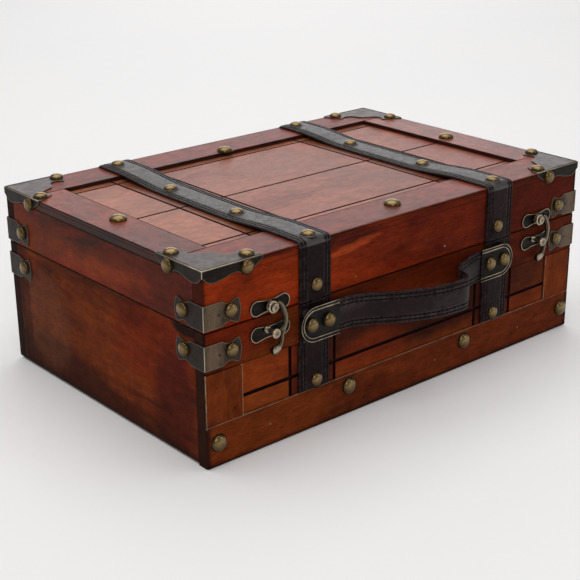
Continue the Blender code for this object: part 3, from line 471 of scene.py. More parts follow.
@cache
def bronze_finish(name, shine=None):
    """Plate with brush lines and patina, lighter where an edge is rubbed, partly as a painted
    highlight. Shine is a (distance from the middle, width) along X where the bronze is made lighter."""
    s = Shading(name)
    plate, patina, brush, brushed, polish_and_highlight, rough = bronzes[name]
    brush_lines = s.noise(1700, 2, 0.6, [0.06 if axis == brush else 1.0 for axis in "XYZ"])
    blotch = s.noise(150, 5, 0.68, offset=(2, 5, 1), warp=0.5)
    speck = s.noise(800, 3, 0.7, offset=(7, 3, 2))
    base = s.mix(s.fade(blotch, 0.38, 0.66, 0.0, 0.75), tint(plate), tint(patina))
    if shine is not None:
        distance, width = shine
        away = s.math("SUBTRACT", s.math("ABSOLUTE", s.axis("X")), distance)
        uneven = s.scaled(blotch, width * 0.8, s.math("ABSOLUTE", away))
        base = s.mix(s.fade(uneven, width * 1.5, width * 0.5, 0.0, 0.55), base, metal().shine)
    base = s.mix(s.fade(brush_lines, 0.35, 0.70, 0.0, brushed), base, metal().rim)
    base = s.mix(s.fade(speck, 0.58, 0.70, 0.0, 0.6), base, tint(patina))
    rubbing_and_highlight = s.times(s.rubbing_and_highlight(), s.fade(blotch, 0.32, 0.55, 0.6, 1.0))
    base = s.mix(s.times(rubbing_and_highlight, polish_and_highlight, clamp=True), base, metal().rim)
    gloss = s.scaled(brush_lines, 0.12, s.fade(blotch, 0.35, 0.7, rough - 0.10, rough))
    normal = s.bump(s.scaled(speck, 0.6, brush_lines), 0.20, 0.08 * mm)
    return s.done(base, gloss, normal, metallic=0.92)


@cache
def nail_finish():
    s = Shading("nail_brass")
    blotch = s.noise(260, 4, 0.6, offset=(1, 8, 3), warp=0.4)
    scratches = s.noise(1600, 3, 0.6)
    # Brass where the highlight attribute is high, as a painted highlight; darker old brass towards the foot.
    polished = s.times(s.rubbing_and_highlight(), s.fade(blotch, 0.30, 0.58, 0.65, 1.0))
    base = s.mix(polished, metal().old_brass, metal().brass)
    pits = s.fade(s.noise(900, 2, 0.5, offset=(3, 3, 9)), 0.66, 0.74, 0.0, 0.7)
    base = s.mix(pits, base, metal().old_brass)
    rough = s.fade(blotch, 0.3, 0.7, 0.17, 0.30)
    normal = s.bump(s.scaled(scratches, 0.3, blotch), 0.15, 0.08 * mm)
    return s.done(base, rough, normal, metallic=0.95)


@cache
def plain_finish(name, stain, rough, gloss=0.3):
    """One colour with a fine grain, for what is small or lies deep."""
    s = Shading(name)
    grain = s.noise(900, 3, 0.6)
    base = s.shaded(tint(stain), s.fade(grain, 0.2, 0.8, 0.75, 1.15))
    return s.done(base, rough, s.bump(grain, 0.3, 0.08 * mm), gloss=gloss)


@cache
def inside_finish(grain):
    """Lightly stained wood."""
    s = Shading("inside_wood_along_" + grain.lower())
    stretch = [0.05 if axis == grain else 1.0 for axis in "XYZ"]
    streak = s.noise(220, 4, 0.6, stretch, warp=0.4)
    fibre = s.noise(1100, 2, 0.6, stretch)
    base = s.shaded(wood().inside, s.scaled(streak, 0.8, s.scaled(fibre, 0.4, 0.4)))
    return s.done(base, s.scaled(streak, 0.2, 0.45), s.bump(fibre, 0.3, 0.1 * mm))


@cache
def edge_finish():
    """Burnished dark wood on the sides of the top, and painted shade on the inner faces of the back
    rail and the right stile.
    """
    burns_and_painted_shade = [("Z", panel_top, 0.6, 0.9), ("Z", panel_bottom, 0.6, 0.9)]
    return stained_wood("burnished_edge_and_painted_shade", "Y", "umber umber burnt", (), burns_and_painted_shade, seed=3.3, gloss=0.12)


@cache
def front_edge_finish():
    """Red stain on the front edge of the top."""
    spots = on_face("Y", front, [(120, 117.5, 60, 20, "maroon", 0.7)])
    burns_and_painted_shade = [("Z", box_top - 1.3 * mm, 0.7, 0.95)]
    lines = [("Z", box_top, 0.4, 0.8)]
    return stained_wood("red_edge", "X", "orange red maroon", spots, burns_and_painted_shade, lines, seed=5.3)


def groove_finish():
    return plain_finish("groove_stain", "groove", 0.6, 0.05)


def thread_finish():
    return plain_finish("waxed_thread", "thread", 0.6, 0.03)


def faded_thread_finish():
    return plain_finish("faded_thread", "faded", 0.6, 0.05)


# Shapes


def in_metres(rows):
    """Rows of numbers given in millimetres."""
    return [tuple(value * mm for value in row) for row in rows]


def scaled_rows(rows, *factors):
    return [tuple(value * factor for value, factor in zip(row, factors)) for row in rows]


def block(low, high):
    shape = bmesh.new()
    bmesh.ops.create_cube(shape, size=1)
    low, high = Vector(low), Vector(high)
    bmesh.ops.scale(shape, vec=high - low, verts=shape.verts)
    bmesh.ops.translate(shape, vec=(low + high) / 2, verts=shape.verts)
    return shape


def points_of(geometry):
    return [item for item in geometry if isinstance(item, bmesh.types.BMVert)]


def plate(outline, axis, start, end):
    """A flat outline in the plane across an axis, pulled along it from start to end."""

    def place(a, b, c):
        return Vector({"X": (c, a, b), "Y": (a, c, b), "Z": (a, b, c)}[axis])

    shape = bmesh.new()
    face = shape.faces.new([shape.verts.new(place(a, b, start)) for a, b in outline])
    pulled = bmesh.ops.extrude_face_region(shape, geom=[face])["geom"]
    bmesh.ops.translate(shape, verts=points_of(pulled), vec=place(0, 0, end - start))
    bmesh.ops.recalc_face_normals(shape, faces=shape.faces)
    return shape


def turned(profile, sides):
    """(radius, height) points turned about Z. The profile starts and ends on the axis, or closes."""
    shape = bmesh.new()
    points = [shape.verts.new((radius, 0, height)) for radius, height in profile]
    edges = [shape.edges.new(pair) for pair in zip(points, points[1:])]
    if profile[0][0] > 0:
        edges.append(shape.edges.new((points[-1], points[0])))
    whole_turn = {"cent": (0, 0, 0), "axis": (0, 0, 1), "angle": 2 * pi, "use_merge": True}
    bmesh.ops.spin(shape, geom=points + edges, steps=sides, **whole_turn)
    bmesh.ops.remove_doubles(shape, verts=shape.verts, dist=fine)
    bmesh.ops.recalc_face_normals(shape, faces=shape.faces)
    return shape


def swept(section, stations):
    """A closed section of (x, z) points carried along matrices that place it, with both ends shut
    and nothing left inside."""
    shape = bmesh.new()
    face = shape.faces.new([shape.verts.new(stations[0] @ Vector((x, 0, z))) for x, z in section])
    for before, after in zip(stations, stations[1:]):
        pulled = bmesh.ops.extrude_face_region(shape, geom=[face])["geom"]
        if before is not stations[0]:
            bmesh.ops.delete(shape, geom=[face], context="FACES_ONLY")
        step = after @ before.inverted()
        bmesh.ops.transform(shape, matrix=step, verts=points_of(pulled))
        face = next(item for item in pulled if isinstance(item, bmesh.types.BMFace))
    bmesh.ops.recalc_face_normals(shape, faces=shape.faces)
    return shape


def turned_to(shape, direction, place, spin=0.0):
    """Points a shape made along Z in a direction and moves it to a place."""
    turn = Vector((0, 0, 1)).rotation_difference(Vector(direction)).to_matrix().to_4x4()
    matrix = Matrix.Translation(place) @ turn @ Matrix.Rotation(spin, 4, "Z")
    bmesh.ops.transform(shape, matrix=matrix, verts=shape.verts)
    return shape


def bevelled(shape, width, segments=2, pick=None, clamp=True):
    """Rounds the sharp edges, or the ones that a test picks."""
    shape.normal_update()
    if pick is None:
        edges = [e for e in shape.edges if e.is_manifold and e.calc_face_angle() > radians(32)]
    else:
        edges = [e for e in shape.edges if pick(e)]
    settings = {"offset_type": "OFFSET", "profile": 0.5, "affect": "EDGES", "material": -1}
    settings |= {"segments": segments, "clamp_overlap": clamp}
    bmesh.ops.bevel(shape, geom=edges, offset=width, **settings)
    return shape


def framed(shape, width, least_area=1e-5):
    """Puts a narrow ring inside every large flat face, so that its shading stays flat."""
    faces = [face for face in shape.faces if face.calc_area() > least_area]
    bmesh.ops.inset_individual(shape, faces=faces, thickness=width, use_even_offset=True)
    return shape


def mark_rubbing_and_highlight(shape, full_angle=0.6):
    """Writes how far each point stands out on an edge, for rubbed and polished edges and for painted highlights
    along edges.
    """
    layer = shape.verts.layers.float.new("rubbing_and_highlight")
    shape.normal_update()
    for vertex in shape.verts:
        bends = [e.calc_face_angle_signed(0) for e in vertex.link_edges if e.is_manifold]
        vertex[layer] = min(max(bends + [0]) / full_angle, 1)
    return shape


def mark_all(shape, value):
    """Writes one value of rubbing and painted highlight for all points, or the one that a function of the place
    gives.
    """
    layer = shape.verts.layers.float.new("rubbing_and_highlight")
    for vertex in shape.verts:
        vertex[layer] = value(vertex.co) if callable(value) else value
    return shape


def joined(parts):
    """One shape of several, each with its material's number."""
    whole = bmesh.new()
    whole.verts.layers.float.new("rubbing_and_highlight")
    for shape, number in parts:
        if number is not None:
            for face in shape.faces:
                face.material_index = number
        mesh = bpy.data.meshes.new("part")
        shape.to_mesh(mesh)
        shape.free()
        whole.from_mesh(mesh)
        bpy.data.meshes.remove(mesh)
    return whole


def made_piece(name, shape, materials, sharp=38):
    mesh = bpy.data.meshes.new(name)
    shape.to_mesh(mesh)
    shape.free()
    mesh.shade_smooth()
    mesh.set_sharp_from_angle(angle=radians(sharp))
    for material in materials:
        mesh.materials.append(material)
    piece = bpy.data.objects.new(name, mesh)
    bpy.context.scene.collection.objects.link(piece)
    return piece


def put(name, shape, materials, node, sharp=38):
    """Makes a piece that stands for a node of the frame and rides on its body."""
    piece = made_piece(name, shape, materials, sharp)
    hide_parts(node)
    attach(piece, body_of_node[node])


def arc(centre, radius, start, end, steps):
    """Points of an arc between two angles in half turns."""
    angles = [pi * (start + (end - start) * step / steps) for step in range(steps + 1)]
    return [(centre[0] + radius * cos(angle), centre[1] + radius * sin(angle)) for angle in angles]


def curve_through(points, steps):
    """More points on a smooth curve through the given ones, of any dimension."""
    route = []
    last = len(points) - 1
    for index in range(last):
        a, b, c, d = [Vector(points[min(max(index + k, 0), last)]) for k in (-1, 0, 1, 2)]
        for part in range(steps):
            t = part / steps
            cubic = (b * 3 - a - c * 3 + d) * t * t * t
            route.append((b * 2 + (c - a) * t + (a * 2 - b * 5 + c * 4 - d) * t * t + cubic) / 2)
    route.append(Vector(points[last]))
    return route


def smooth_pairs(points, steps=3):
    return [tuple(point) for point in curve_through(points, steps)]


def evenly(points, spacing):
    """Points an even distance apart along a line of points."""
    points = [Vector(point) for point in points]
    runs = [(b - a).length for a, b in zip(points, points[1:])]
    total = sum(runs)
    count = max(round(total / spacing), 1)
    result = []
    walked, index = 0.0, 0
    for place in [total * step / count for step in range(count + 1)]:
        while index < len(runs) - 1 and walked + runs[index] < place:
            walked += runs[index]
            index += 1
        share = min((place - walked) / runs[index], 1) if runs[index] > 0 else 0
        result.append(points[index].lerp(points[index + 1], share))
    return result


# Nails


def nail_head(radius, height, direction, place, number, sides=28):
    """A domed head with a thin lip, tilted a little by chance, with a painted highlight on its top
    and, on nails that face the front, on its upper half.
    """
    luck = random.Random(number)
    lip = radius * 0.95
    profile = [(0, -0.2 * mm), (radius * 0.97, -0.2 * mm), (radius, height * 0.03)]
    profile += [(radius * 0.99, height * 0.09), (lip, height * 0.12)]
    rings = 10
    for ring in range(1, rings):
        angle = pi / 2 * ring / rings
        profile.append((lip * cos(angle), height * (0.12 + 0.88 * sin(angle) ** 0.92)))
    profile.append((0, height))
    power = 1.2 if direction[2] else 2.0
    shape = turned(profile, sides)
    mark_all(shape, lambda co: min((max(co.z, 0) / height) ** power * 1.15, 1))
    tilt = Matrix.Rotation(radians(luck.uniform(-2.5, 2.5)), 4, "X")
    bmesh.ops.transform(shape, matrix=tilt, verts=shape.verts)
    turned_to(shape, direction, place, luck.uniform(0, 6))
    rubbing_and_highlight = shape.verts.layers.float["rubbing_and_highlight"]
    # On nails that face the front, the upper half gets the painted highlight and the lower half painted shade.
    for vertex in shape.verts:
        rise = (vertex.co.z - place[2]) / radius if direction[2] == 0 else 0.6
        vertex[rubbing_and_highlight] *= min(max(0.55 + 0.75 * rise, 0.15), 1)
    return shape


def small_nail(direction, place, number):
    return nail_head(small_radius, small_height, direction, place, number)


class CHEST_OT_large_nails(bpy.types.Operator):
    """Domed nails in the frame of the top and the bottom rail"""

    bl_idname = "chest.large_nails"
    bl_label = "Large nails"

    def execute(self, context):
        nodes = [node for node in frame["nodes"] if "nail" in node]
        for number, node in enumerate(nodes, 101):
            low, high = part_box(node)
            middle = (low + high) / 2
            place, direction = (middle.x, middle.y, box_top), (0, 0, 1)
            if node.startswith("base"):
                place, direction = (middle.x, front, middle.z), (0, -1, 0)
            head = nail_head(large_radius, large_height, direction, place, number, 36)
            put(node + "_head", head, [nail_finish()], node)
        return {"FINISHED"}


# Boards


def flat_board(node, rounding, foot=0.0):
    """A board in the place of a node, with its edges rounded and its outer foot rounded more."""

    def outer_foot(edge):
        middle = (edge.verts[0].co + edge.verts[1].co) / 2
        outside = abs(abs(middle.x) - half_length) < fine or abs(abs(middle.y) - back) < fine
        return middle.z < fine and outside

    shape = block(*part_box(node))
    if foot:
        bevelled(shape, foot, 5, outer_foot)
    return framed(bevelled(shape, rounding, 3), flat_ring)


def groove_in(shape, axis, surface, depth, strips):
    """Presses strips of a flat surface in, with the second material. A strip is a (low, high)
    corner pair in the surface."""
    flat = "XYZ".index(axis)
    sides = [index for index in range(3) if index != flat]

    def along(side, value):
        vector = Vector()
        vector[side] = value
        return vector

    for strip in strips:
        for side, limits in zip(sides, zip(*strip)):
            for limit in limits:
                cut = {"plane_co": along(side, limit), "plane_no": along(side, 1), "dist": fine}
                geometry = shape.verts[:] + shape.edges[:] + shape.faces[:]
                bmesh.ops.bisect_plane(shape, geom=geometry, **cut)

    def on_surface(point):
        return abs(point[flat] - surface) < 3 * fine

    def inside(face):
        centre = face.calc_center_median()
        return on_surface(centre) and any(
            all(low < centre[side] < high for side, low, high in zip(sides, *strip)) for strip in strips
        )

    def rim(edge):
        numbers = sorted(face.material_index for face in edge.link_faces)
        return edge.is_manifold and numbers == [0, 1] and all(on_surface(v.co) for v in edge.verts)

    chosen = [face for face in shape.faces if inside(face)]
    pressed = bmesh.ops.extrude_face_region(shape, geom=chosen)["geom"]
    bmesh.ops.delete(shape, geom=[f for f in chosen if f.is_valid], context="FACES_KEEP_BOUNDARY")
    bmesh.ops.translate(shape, verts=points_of(pressed), vec=along(flat, depth))
    floor = {item for item in pressed if isinstance(item, bmesh.types.BMFace)}
    for face in shape.faces:
        if face in floor or any(f in floor for e in face.edges for f in e.link_faces):
            if (face.calc_center_median()[flat] - surface) * depth > fine * fine:
                face.material_index = 1
    return bevelled(shape, wood().groove_lip, 2, rim, clamp=False)


def faces_that_look(shape, number, *directions):
    """Gives the faces that look in these directions another material."""
    shape.normal_update()
    for face in shape.faces:
        if any(face.normal.dot(Vector(direction)) > 0.9 for direction in directions):
            face.material_index = number
    return shape


def put_board(node, name, finish, grain, inward, rounding, foot=0.0):
    """A board that is stained outside and plain where it looks into the chest."""
    shape = faces_that_look(flat_board(node, rounding, foot), 1, *inward)
    put(name, mark_rubbing_and_highlight(shape), [finish, inside_finish(grain)], node)


class CHEST_OT_base_boards(bpy.types.Operator):
    """Boards of the base, with the grooved field at the front"""

    bl_idname = "chest.base_boards"
    bl_label = "Base boards"

    def execute(self, context):
        w, h = wood(), half_length
        self.front_field(w, h - stile_width)
        spots = on_face("Y", back, [
            (-60, 45, 70, 20, "red", 0.55),
            (80, 30, 60, 18, "orange", 0.35),
            (20, 72, 90, 8, "umber", 0.6),
        ])
        burns_and_painted_shade = [("Z", 0, 10, 0.85), ("Z", seam, 2.5, 0.8), ("X", -h, 8, 0.9), ("X", h, 8, 0.9)]
        finish = stained_wood("base_back_wood", "X", "red brown umber", spots, burns_and_painted_shade, seed=4.1)
        rounding = (w.edge_round, w.foot_round)
        put_board("base_back_board", "base_back_face", finish, "X", [(0, -1, 0)], *rounding)
        for side, way, seed in (("left", -1, 2.2), ("right", 1, 6.4)):
            spots = on_face("X", way * h, [
                (10, 45, 55, 18, "amber", 0.42),
                (-55, 60, 30, 20, "red", 0.50),
                (-75, 30, 14, 28, "maroon", 0.75),
                (50, 12, 45, 12, "umber", 0.9),
                (-10, 6, 55, 8, "umber", 0.7),
                (66, 40, 22, 24, "haze", 0.50),
                (90, 40, 4, 40, "umber", 0.6),
                # A small dark patch just below the seam near the front corner.
                (-88, 82, 9, 3.5, "burnt", 0.95),
            ])
            burns_and_painted_shade = [("Z", 0, 8, 0.85), ("Z", seam, 0.4, 0.4)]
            burns_and_painted_shade += [("Y", front + board, 1.2, 0.6), ("Y", back - board, 6, 0.6)]
            node = f"base_{side}_board"
            finish = stained_wood(node + "_wood", "Y", "amber brown umber", spots, burns_and_painted_shade, seed=seed)
            put_board(node, f"base_{side}_face", finish, "Y", [(-way, 0, 0)], *rounding)
        finish = stained_wood("underside_wood", "X", "brown brown umber", seed=7.7)
        put_board("base_bottom_panel", "base_floor", finish, "X", [(0, 0, 1)], w.strip_round)
        return {"FINISHED"}

    def front_field(self, w, reach):
        """The board behind the front frame, with a line of grooves as far as the frame's stiles."""
        low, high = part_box("base_front_board")

        def upright(edge):
            rise = abs(edge.verts[0].co.z - edge.verts[1].co.z)
            return rise > mm and all(abs(v.co.y - low.y) < fine for v in edge.verts)

        shape = bevelled(block(low, high), w.strip_round, 2, upright)
        half = front_groove / 2
        strips = [((-reach, front_line - half), (reach, front_line + half))]
        for column in groove_columns:
            strips.append(((column - half, bottom_rail_top - mm), (column + half, top_rail_bottom)))
        groove_in(shape, "Y", low.y, front_groove_depth, strips)
        framed(shape, flat_ring, 2e-5)
        spots = on_face("Y", front, [
            # Painted shadow of the handle across the middle of the field.
            (10, 52, 74, 17, "umber", 0.97),
            (-30, 36, 22, 10, "orange", 0.35),
            (-118, 52, 26, 10, "orange", 0.25),
            (118, 48, 30, 14, "umber", 0.6),
            (125, 32, 22, 6, "orange", 0.25),
        ])
        # Painted shade on the field just above the bottom rail and along the right stile's inner edge.
        burns_and_painted_shade = [("Z", bottom_rail_top, 1.2, 0.4), ("X", reach, 2.2, 0.7)]
        burns_and_painted_shade += [("X", -half_length, 4, 0.9), ("X", half_length, 4, 0.9)]
        bands = [("X", *groove_columns[:2], "maroon", 0.8), ("X", *groove_columns[2:], "maroon", 0.8)]
        looks = {"spots": spots, "burns_and_painted_shade": burns_and_painted_shade, "bands": bands, "seed": 1.3}
        field = stained_wood("front_field_wood", "X", "amber amber brown", **looks)
        shape = mark_rubbing_and_highlight(faces_that_look(shape, 2, (0, 1, 0)))
        materials = [field, groove_finish(), inside_finish("X")]
        put("base_front_field", shape, materials, "base_front_board")


class CHEST_OT_front_frame(bpy.types.Operator):
    """Frame of strips on the base's front"""

    bl_idname = "chest.front_frame"
    bl_label = "Front frame"

    def execute(self, context):
        w, h = wood(), half_length
        ends = [("Z", top_rail_bottom, 0.6, 0.3), ("Z", bottom_rail_top, 0.8, 0.5)]
        rail_pins = [(x, z, 0.5, 0.5, "grey pin", 0.7) for x, z in ((-114, 14), (25, 13), (107, 13))]
        stile_pins = ((-152, 49), (-139, 48), (-151, 35), (-140, 33))
        stile_pins = [(x, z, 0.5, 0.5, "umber", 0.7) for x, z in stile_pins]
        strips = {
            "top_rail": (
                "X",
                "red brown umber",
                [
                    (-105, 66, 30, 12, "amber", 0.5),
                    (-140, 75, 20, 9, "red", 0.7),
                    (20, 73, 55, 12, "red", 0.35),
                    # Painted shade at the right end, under the lid's edge.
                    (125, 70, 40, 12, "maroon", 0.65),
                ],
                [("Z", seam, 0.4, 0.4), ("X", -h, 2, 0.9), ("X", h, 3, 0.9)],
                [],
            ),
            "bottom_rail": (
                "X",
                "amber brown umber",
                [
                    (-120, 12, 45, 12, "amber", 0.55),
                    (30, 8, 60, 9, "brown", 0.6),
                    (110, 10, 60, 12, "brown", 0.7),
                    *rail_pins,
                ],
                [("Z", 0, 4.5, 0.85), ("X", -h, 4, 0.9), ("X", h, 5, 0.9)],
                # The rail's bright top edge is rubbed bare and partly a painted highlight.
                [("Z", bottom_rail_top, 2, 1)],
            ),
            "stile_left": (
                "Z",
                "amber brown umber",
                [(-145, 45, 16, 16, "amber", 0.4), *stile_pins],
                [("X", -h, 0.8, 0.6), *ends],
                # The stile's bright edges are rubbed bare and partly a painted highlight.
                [("X", stile_inner, 2, 1), ("X", -h, 0.7, 1)],
            ),
            "stile_right": (
                "Z",
                "amber brown umber",
                [(146, 45, 12, 20, "amber", 0.4)],
                [("X", h, 3, 0.9), *ends],
                # The stile's bright edge is rubbed bare and partly a painted highlight.
                [("X", -stile_inner, 1, 0.5)],
            ),
        }
        for number, (strip, (grain, tones, spots, burns_and_painted_shade, lines)) in enumerate(strips.items()):
            node = "base_front_" + strip
            low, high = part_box(node)

            def outer(edge):
                middle = (edge.verts[0].co + edge.verts[1].co) / 2
                return abs(middle.y - low.y) < fine or abs(abs(middle.x) - h) < fine

            def foot(edge):
                return outer(edge) and all(vertex.co.z < fine for vertex in edge.verts)

            shape = block(low, high)
            if strip == "bottom_rail":
                bevelled(shape, w.foot_round, 5, foot)
            shape = mark_rubbing_and_highlight(framed(bevelled(shape, w.strip_round, 3, outer), flat_ring))
            looks = {"burns_and_painted_shade": burns_and_painted_shade, "lines": lines, "seed": 2.9 + number * 1.37}
            spots = on_face("Y", front, spots)
            finish = stained_wood(node + "_wood", grain, tones, spots, **looks)
            put(node + "_strip", shape, [finish], node)
        return {"FINISHED"}


class CHEST_OT_lid_boards(bpy.types.Operator):
    """Boards round the lid"""

    bl_idname = "chest.lid_boards"
    bl_label = "Lid boards"

    def execute(self, context):
        h = half_length
        upper = ("Z", panel_bottom, 1.8, 0.8)
        boards = {
            "front": (
                "orange red maroon",
                [
                    (-125, 103, 36, 12, "orange", 0.60),
                    (-45, 100, 20, 12, "orange", 0.55),
                    # Painted shade: darker toward the right of the lid's front.
                    (28, 106, 60, 18, "maroon", 0.55),
                    (-52, 116, 20, 4, "maroon", 0.8),
                    # Painted shade on the right end of the lid's front.
                    (125, 98, 45, 22, "maroon", 0.87),
                    (-58, 106.8, 9, 1.2, "flame", 0.5),
                    (-47, 109.0, 9, 1.2, "flame", 0.5),
                    (-36, 111.2, 8, 1.0, "low flame", 0.4),
                    (-46.5, 89, 0.5, 0.5, "tan pin", 0.5),
                    (30.5, 90, 0.5, 0.5, "pale pin", 0.8),
                ],
                [
                    ("Z", lid_bottom, 0.4, 0.4),
                    ("X", -h, 2.5, 0.8),
                    ("X", h, 4, 0.9),
                    ("Z", panel_bottom, 0.5, 0.6),
                ],
                (0, 1, 0),
            ),
            "back": (
                "red brown umber",
                [(30, 100, 60, 10, "red", 0.5)],
                [("Z", lid_bottom, 1, 0.6), ("X", -h, 8, 0.9), ("X", h, 8, 0.9), ("Z", panel_top, 4, 0.8)],
                (0, -1, 0),
            ),
            "left": (
                "amber red umber",
                [
                    (20, 96, 60, 6, "amber", 0.45),
                    (0, 108, 60, 7, "umber", 0.55),
                    (-80, 100, 20, 14, "maroon", 0.55),
                    (70, 98, 30, 10, "brown", 0.50),
                ],
                [("Z", lid_bottom, 0.4, 0.4), ("Y", front + board, 1.2, 0.6), upper],
                (1, 0, 0),
            ),
            "right": (
                "orange red maroon",
                [(0, 104, 60, 8, "maroon", 0.6)],
                [("Z", lid_bottom, 1, 0.6), ("Y", front + board, 2, 0.6), upper],
                (-1, 0, 0),
            ),
        }
        faces = {"front": ("Y", front), "back": ("Y", back), "left": ("X", -h), "right": ("X", h)}
        for number, (side, (tones, spots, burns_and_painted_shade, inward)) in enumerate(boards.items()):
            node = f"lid_{side}_board"
            grain = "Y" if side in hands else "X"
            gloss = 0.04 if side == "left" else 0.012
            looks = {"burns_and_painted_shade": burns_and_painted_shade, "seed": 5.3 + number * 1.9, "gloss": gloss}
            finish = stained_wood(node + "_wood", grain, tones, on_face(*faces[side], spots), **looks)
            inward = [inward, (0, 0, -1)]
            put_board(node, f"lid_{side}_face", finish, grain, inward, wood().edge_round)
        return {"FINISHED"}


class CHEST_OT_lid_top(bpy.types.Operator):
    """Grooved panel and its frame on the lid's top"""

    bl_idname = "chest.lid_top"
    bl_label = "Lid top"

    def execute(self, context):
        h = half_length
        self.panel(h)
        spots = on_face("Z", box_top, [
            (-150, 30, 16, 40, "cherry", 0.6),
            (-150, -60, 16, 30, "plum", 0.6),
            (-30, -95, 50, 16, "wine", 0.5),
            (60, 95, 70, 16, "smoke", 0.5),
            (150, 20, 16, 40, "blush", 0.7),
        ])
        # The back rail's and right stile's inner faces take the dark side finish as painted shade, and their inner
        # edges are darkened as painted shade.
        back_burns_and_painted_shade = [("Y", inner_back, 0.8, 0.7), ("Y", back, 1, 0.6)]
        right_burns_and_painted_shade = [("X", h, 1, 0.6), ("X", inner_right, 0.8, 0.7)]
        strips = {
            "front_rail": ("X", [], [], [("Y", front, 0.7, 0.9)], 0.235),
            "back_rail": ("X", [(0, -1, 0), (0, 1, 0)], back_burns_and_painted_shade, [], 0.17),
            "left_stile": ("Y", [(-1, 0, 0)], [("X", -h, 1.4, 0.8)], [], 0.235),
            "right_stile": ("Y", [(-1, 0, 0), (1, 0, 0)], right_burns_and_painted_shade, [], 0.38),
        }
        for number, (strip, (grain, dark, burns_and_painted_shade, lines, gloss)) in enumerate(strips.items()):
            node = "lid_top_" + strip
            low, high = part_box(node)
            shape = block(low, high)
            bevelled(shape, wood().edge_round, 3, lambda e: all(v.co.z > high.z - fine for v in e.verts))
            faces_that_look(mark_rubbing_and_highlight(framed(shape, flat_ring)), 1, *dark)
            if strip == "front_rail":
                faces_that_look(shape, 2, (0, -1, 0))
            looks = {"lines": lines, "seed": 8.1 + number * 2.3, "gloss": gloss, "mottle": 0.27}
            finish = stained_wood(node + "_wood", grain, "rose rose shadow", spots, burns_and_painted_shade, **looks)
            put(node + "_strip", shape, [finish, edge_finish(), front_edge_finish()], node)
        return {"FINISHED"}

    def panel(self, h):
        """The lid's top panel, with grooves between its planks and beside the straps."""
        low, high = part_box("lid_top_panel")
        half = top_groove / 2
        strips = [((inner_left - mm, line - half), (inner_right + mm, line + half)) for line in plank_lines]
        for column in groove_columns:
            strips.append(((column - half, inner_front - mm), (column + half, inner_back + mm)))
        shape = groove_in(block(low, high), "Z", high.z, -top_groove_depth, strips)
        faces_that_look(framed(shape, flat_ring, 2e-5), 2, (0, 0, -1))
        for face in shape.faces:
            if abs(face.calc_center_median().x) > h - fine:
                face.material_index = 3
        spots = on_face("Z", panel_top, [
            (-118, 0, 12, 90, "sand", 0.5),
            (0, 20, 40, 30, "peach", 0.5),
            (40, -40, 30, 20, "clay", 0.5),
            (115, -30, 12, 50, "mauve", 0.6),
        ])
        # Painted shade on the panel at the foot of the back rail and of the right stile.
        burns_and_painted_shade = [("Y", inner_back, 1.8, 0.7), ("X", inner_right, 3.4, 0.8)]
        # Painted shadow of the straps on the strips beside them, and painted shade along the foot of the back
        # rail.
        bands = [("X", *groove_columns[:2], "strip", 0.9), ("X", *groove_columns[2:], "strip", 0.9)]
        bands.append(("Y", last_line, inner_back, "honey", 0.8))
        looks = {"burns_and_painted_shade": burns_and_painted_shade, "bands": bands, "seed": 0.4, "gloss": 0.285, "mottle": 0.15}
        finish = stained_wood("top_panel_wood", "X", "tan tan rose", spots, **looks)
        materials = [finish, groove_finish(), inside_finish("X"), edge_finish()]
        put("lid_top_field", mark_rubbing_and_highlight(shape), materials, "lid_top_panel")


# Leather

stitch_levels = (0.76, 0.81)


def strap_section(width, thickness):
    """The strap's section: rolled edges and a shallow channel for each row of stitches."""
    look, half = leather(), width / 2
    rolled = ((0.4, 0), (0, 0.4 * mm / thickness), (0, 0.55), (0.2, 0.72), (0.6, 0.82), (1.1, 0.87))
    right = [(half - inset * mm, thickness * share) for inset, share in rolled]
    for row, top, floor in zip((look.outer_row, look.inner_row), (0.88, 0.93), stitch_levels):
        channel = ((-0.65, top), (-0.35, floor), (0.35, floor), (0.65, top + 0.01))
        right += [(half - row - inset * mm, thickness * share) for inset, share in channel]
    right += [(half * 0.42, thickness * 0.98), (half * 0.18, thickness)]
    return right + [(-x, z) for x, z in right[::-1]]


def stations_along(points, way_out):
    """Matrices along a line of points, with X across it, Y along it and Z the way out of its side."""
    stations = []
    last = len(points) - 1
    for index, point in enumerate(points):
        run = (points[min(index + 1, last)] - points[max(index - 1, 0)]).normalized()
        out = way_out(run)
        turn = Matrix((run.cross(out), run, out)).transposed().to_4x4()
        stations.append(Matrix.Translation(point) @ turn)
    return stations


def strap_stations(points, middle):
    """Places along a line in the (y, z) plane. The strap's outer side is to the line's right."""
    points = [Vector((middle, *point)) for point in points]
    return stations_along(points, lambda run: Vector((0, run.z, -run.y)))


def stitches(stations, width, thickness, wanted=lambda x: True):
    """Two rows of small slanted bars along both edges, where a test of X wants them."""
    look = leather()
    spacing = (stations[1].translation - stations[0].translation).length
    step = max(round(look.stitch_pitch / spacing), 1)
    wide, long, tall = 0.55 * mm, look.stitch_length / 2, 0.3 * mm
    rows = list(zip((look.outer_row, look.inner_row), (1, -1), stitch_levels))
    parts = []
    for side in (-1, 1):
        for row, slant, level in rows:
            lift = Matrix.Translation((side * (width / 2 - row), 0, thickness * level))
            lean = Matrix.Rotation(radians(11 * slant * side), 4, "Z")
            for station in stations[step:-step:step]:
                if not wanted(station.translation.x):
                    continue
                shape = block((-wide, -long, -0.4 * tall), (wide, long, tall))
                top = [v for v in shape.verts if v.co.z > 0]
                bmesh.ops.scale(shape, vec=(0.55, 0.72, 1), verts=top)
                bmesh.ops.transform(shape, matrix=station @ lift @ lean, verts=shape.verts)
                parts.append(mark_all(shape, 0.0))
    return parts


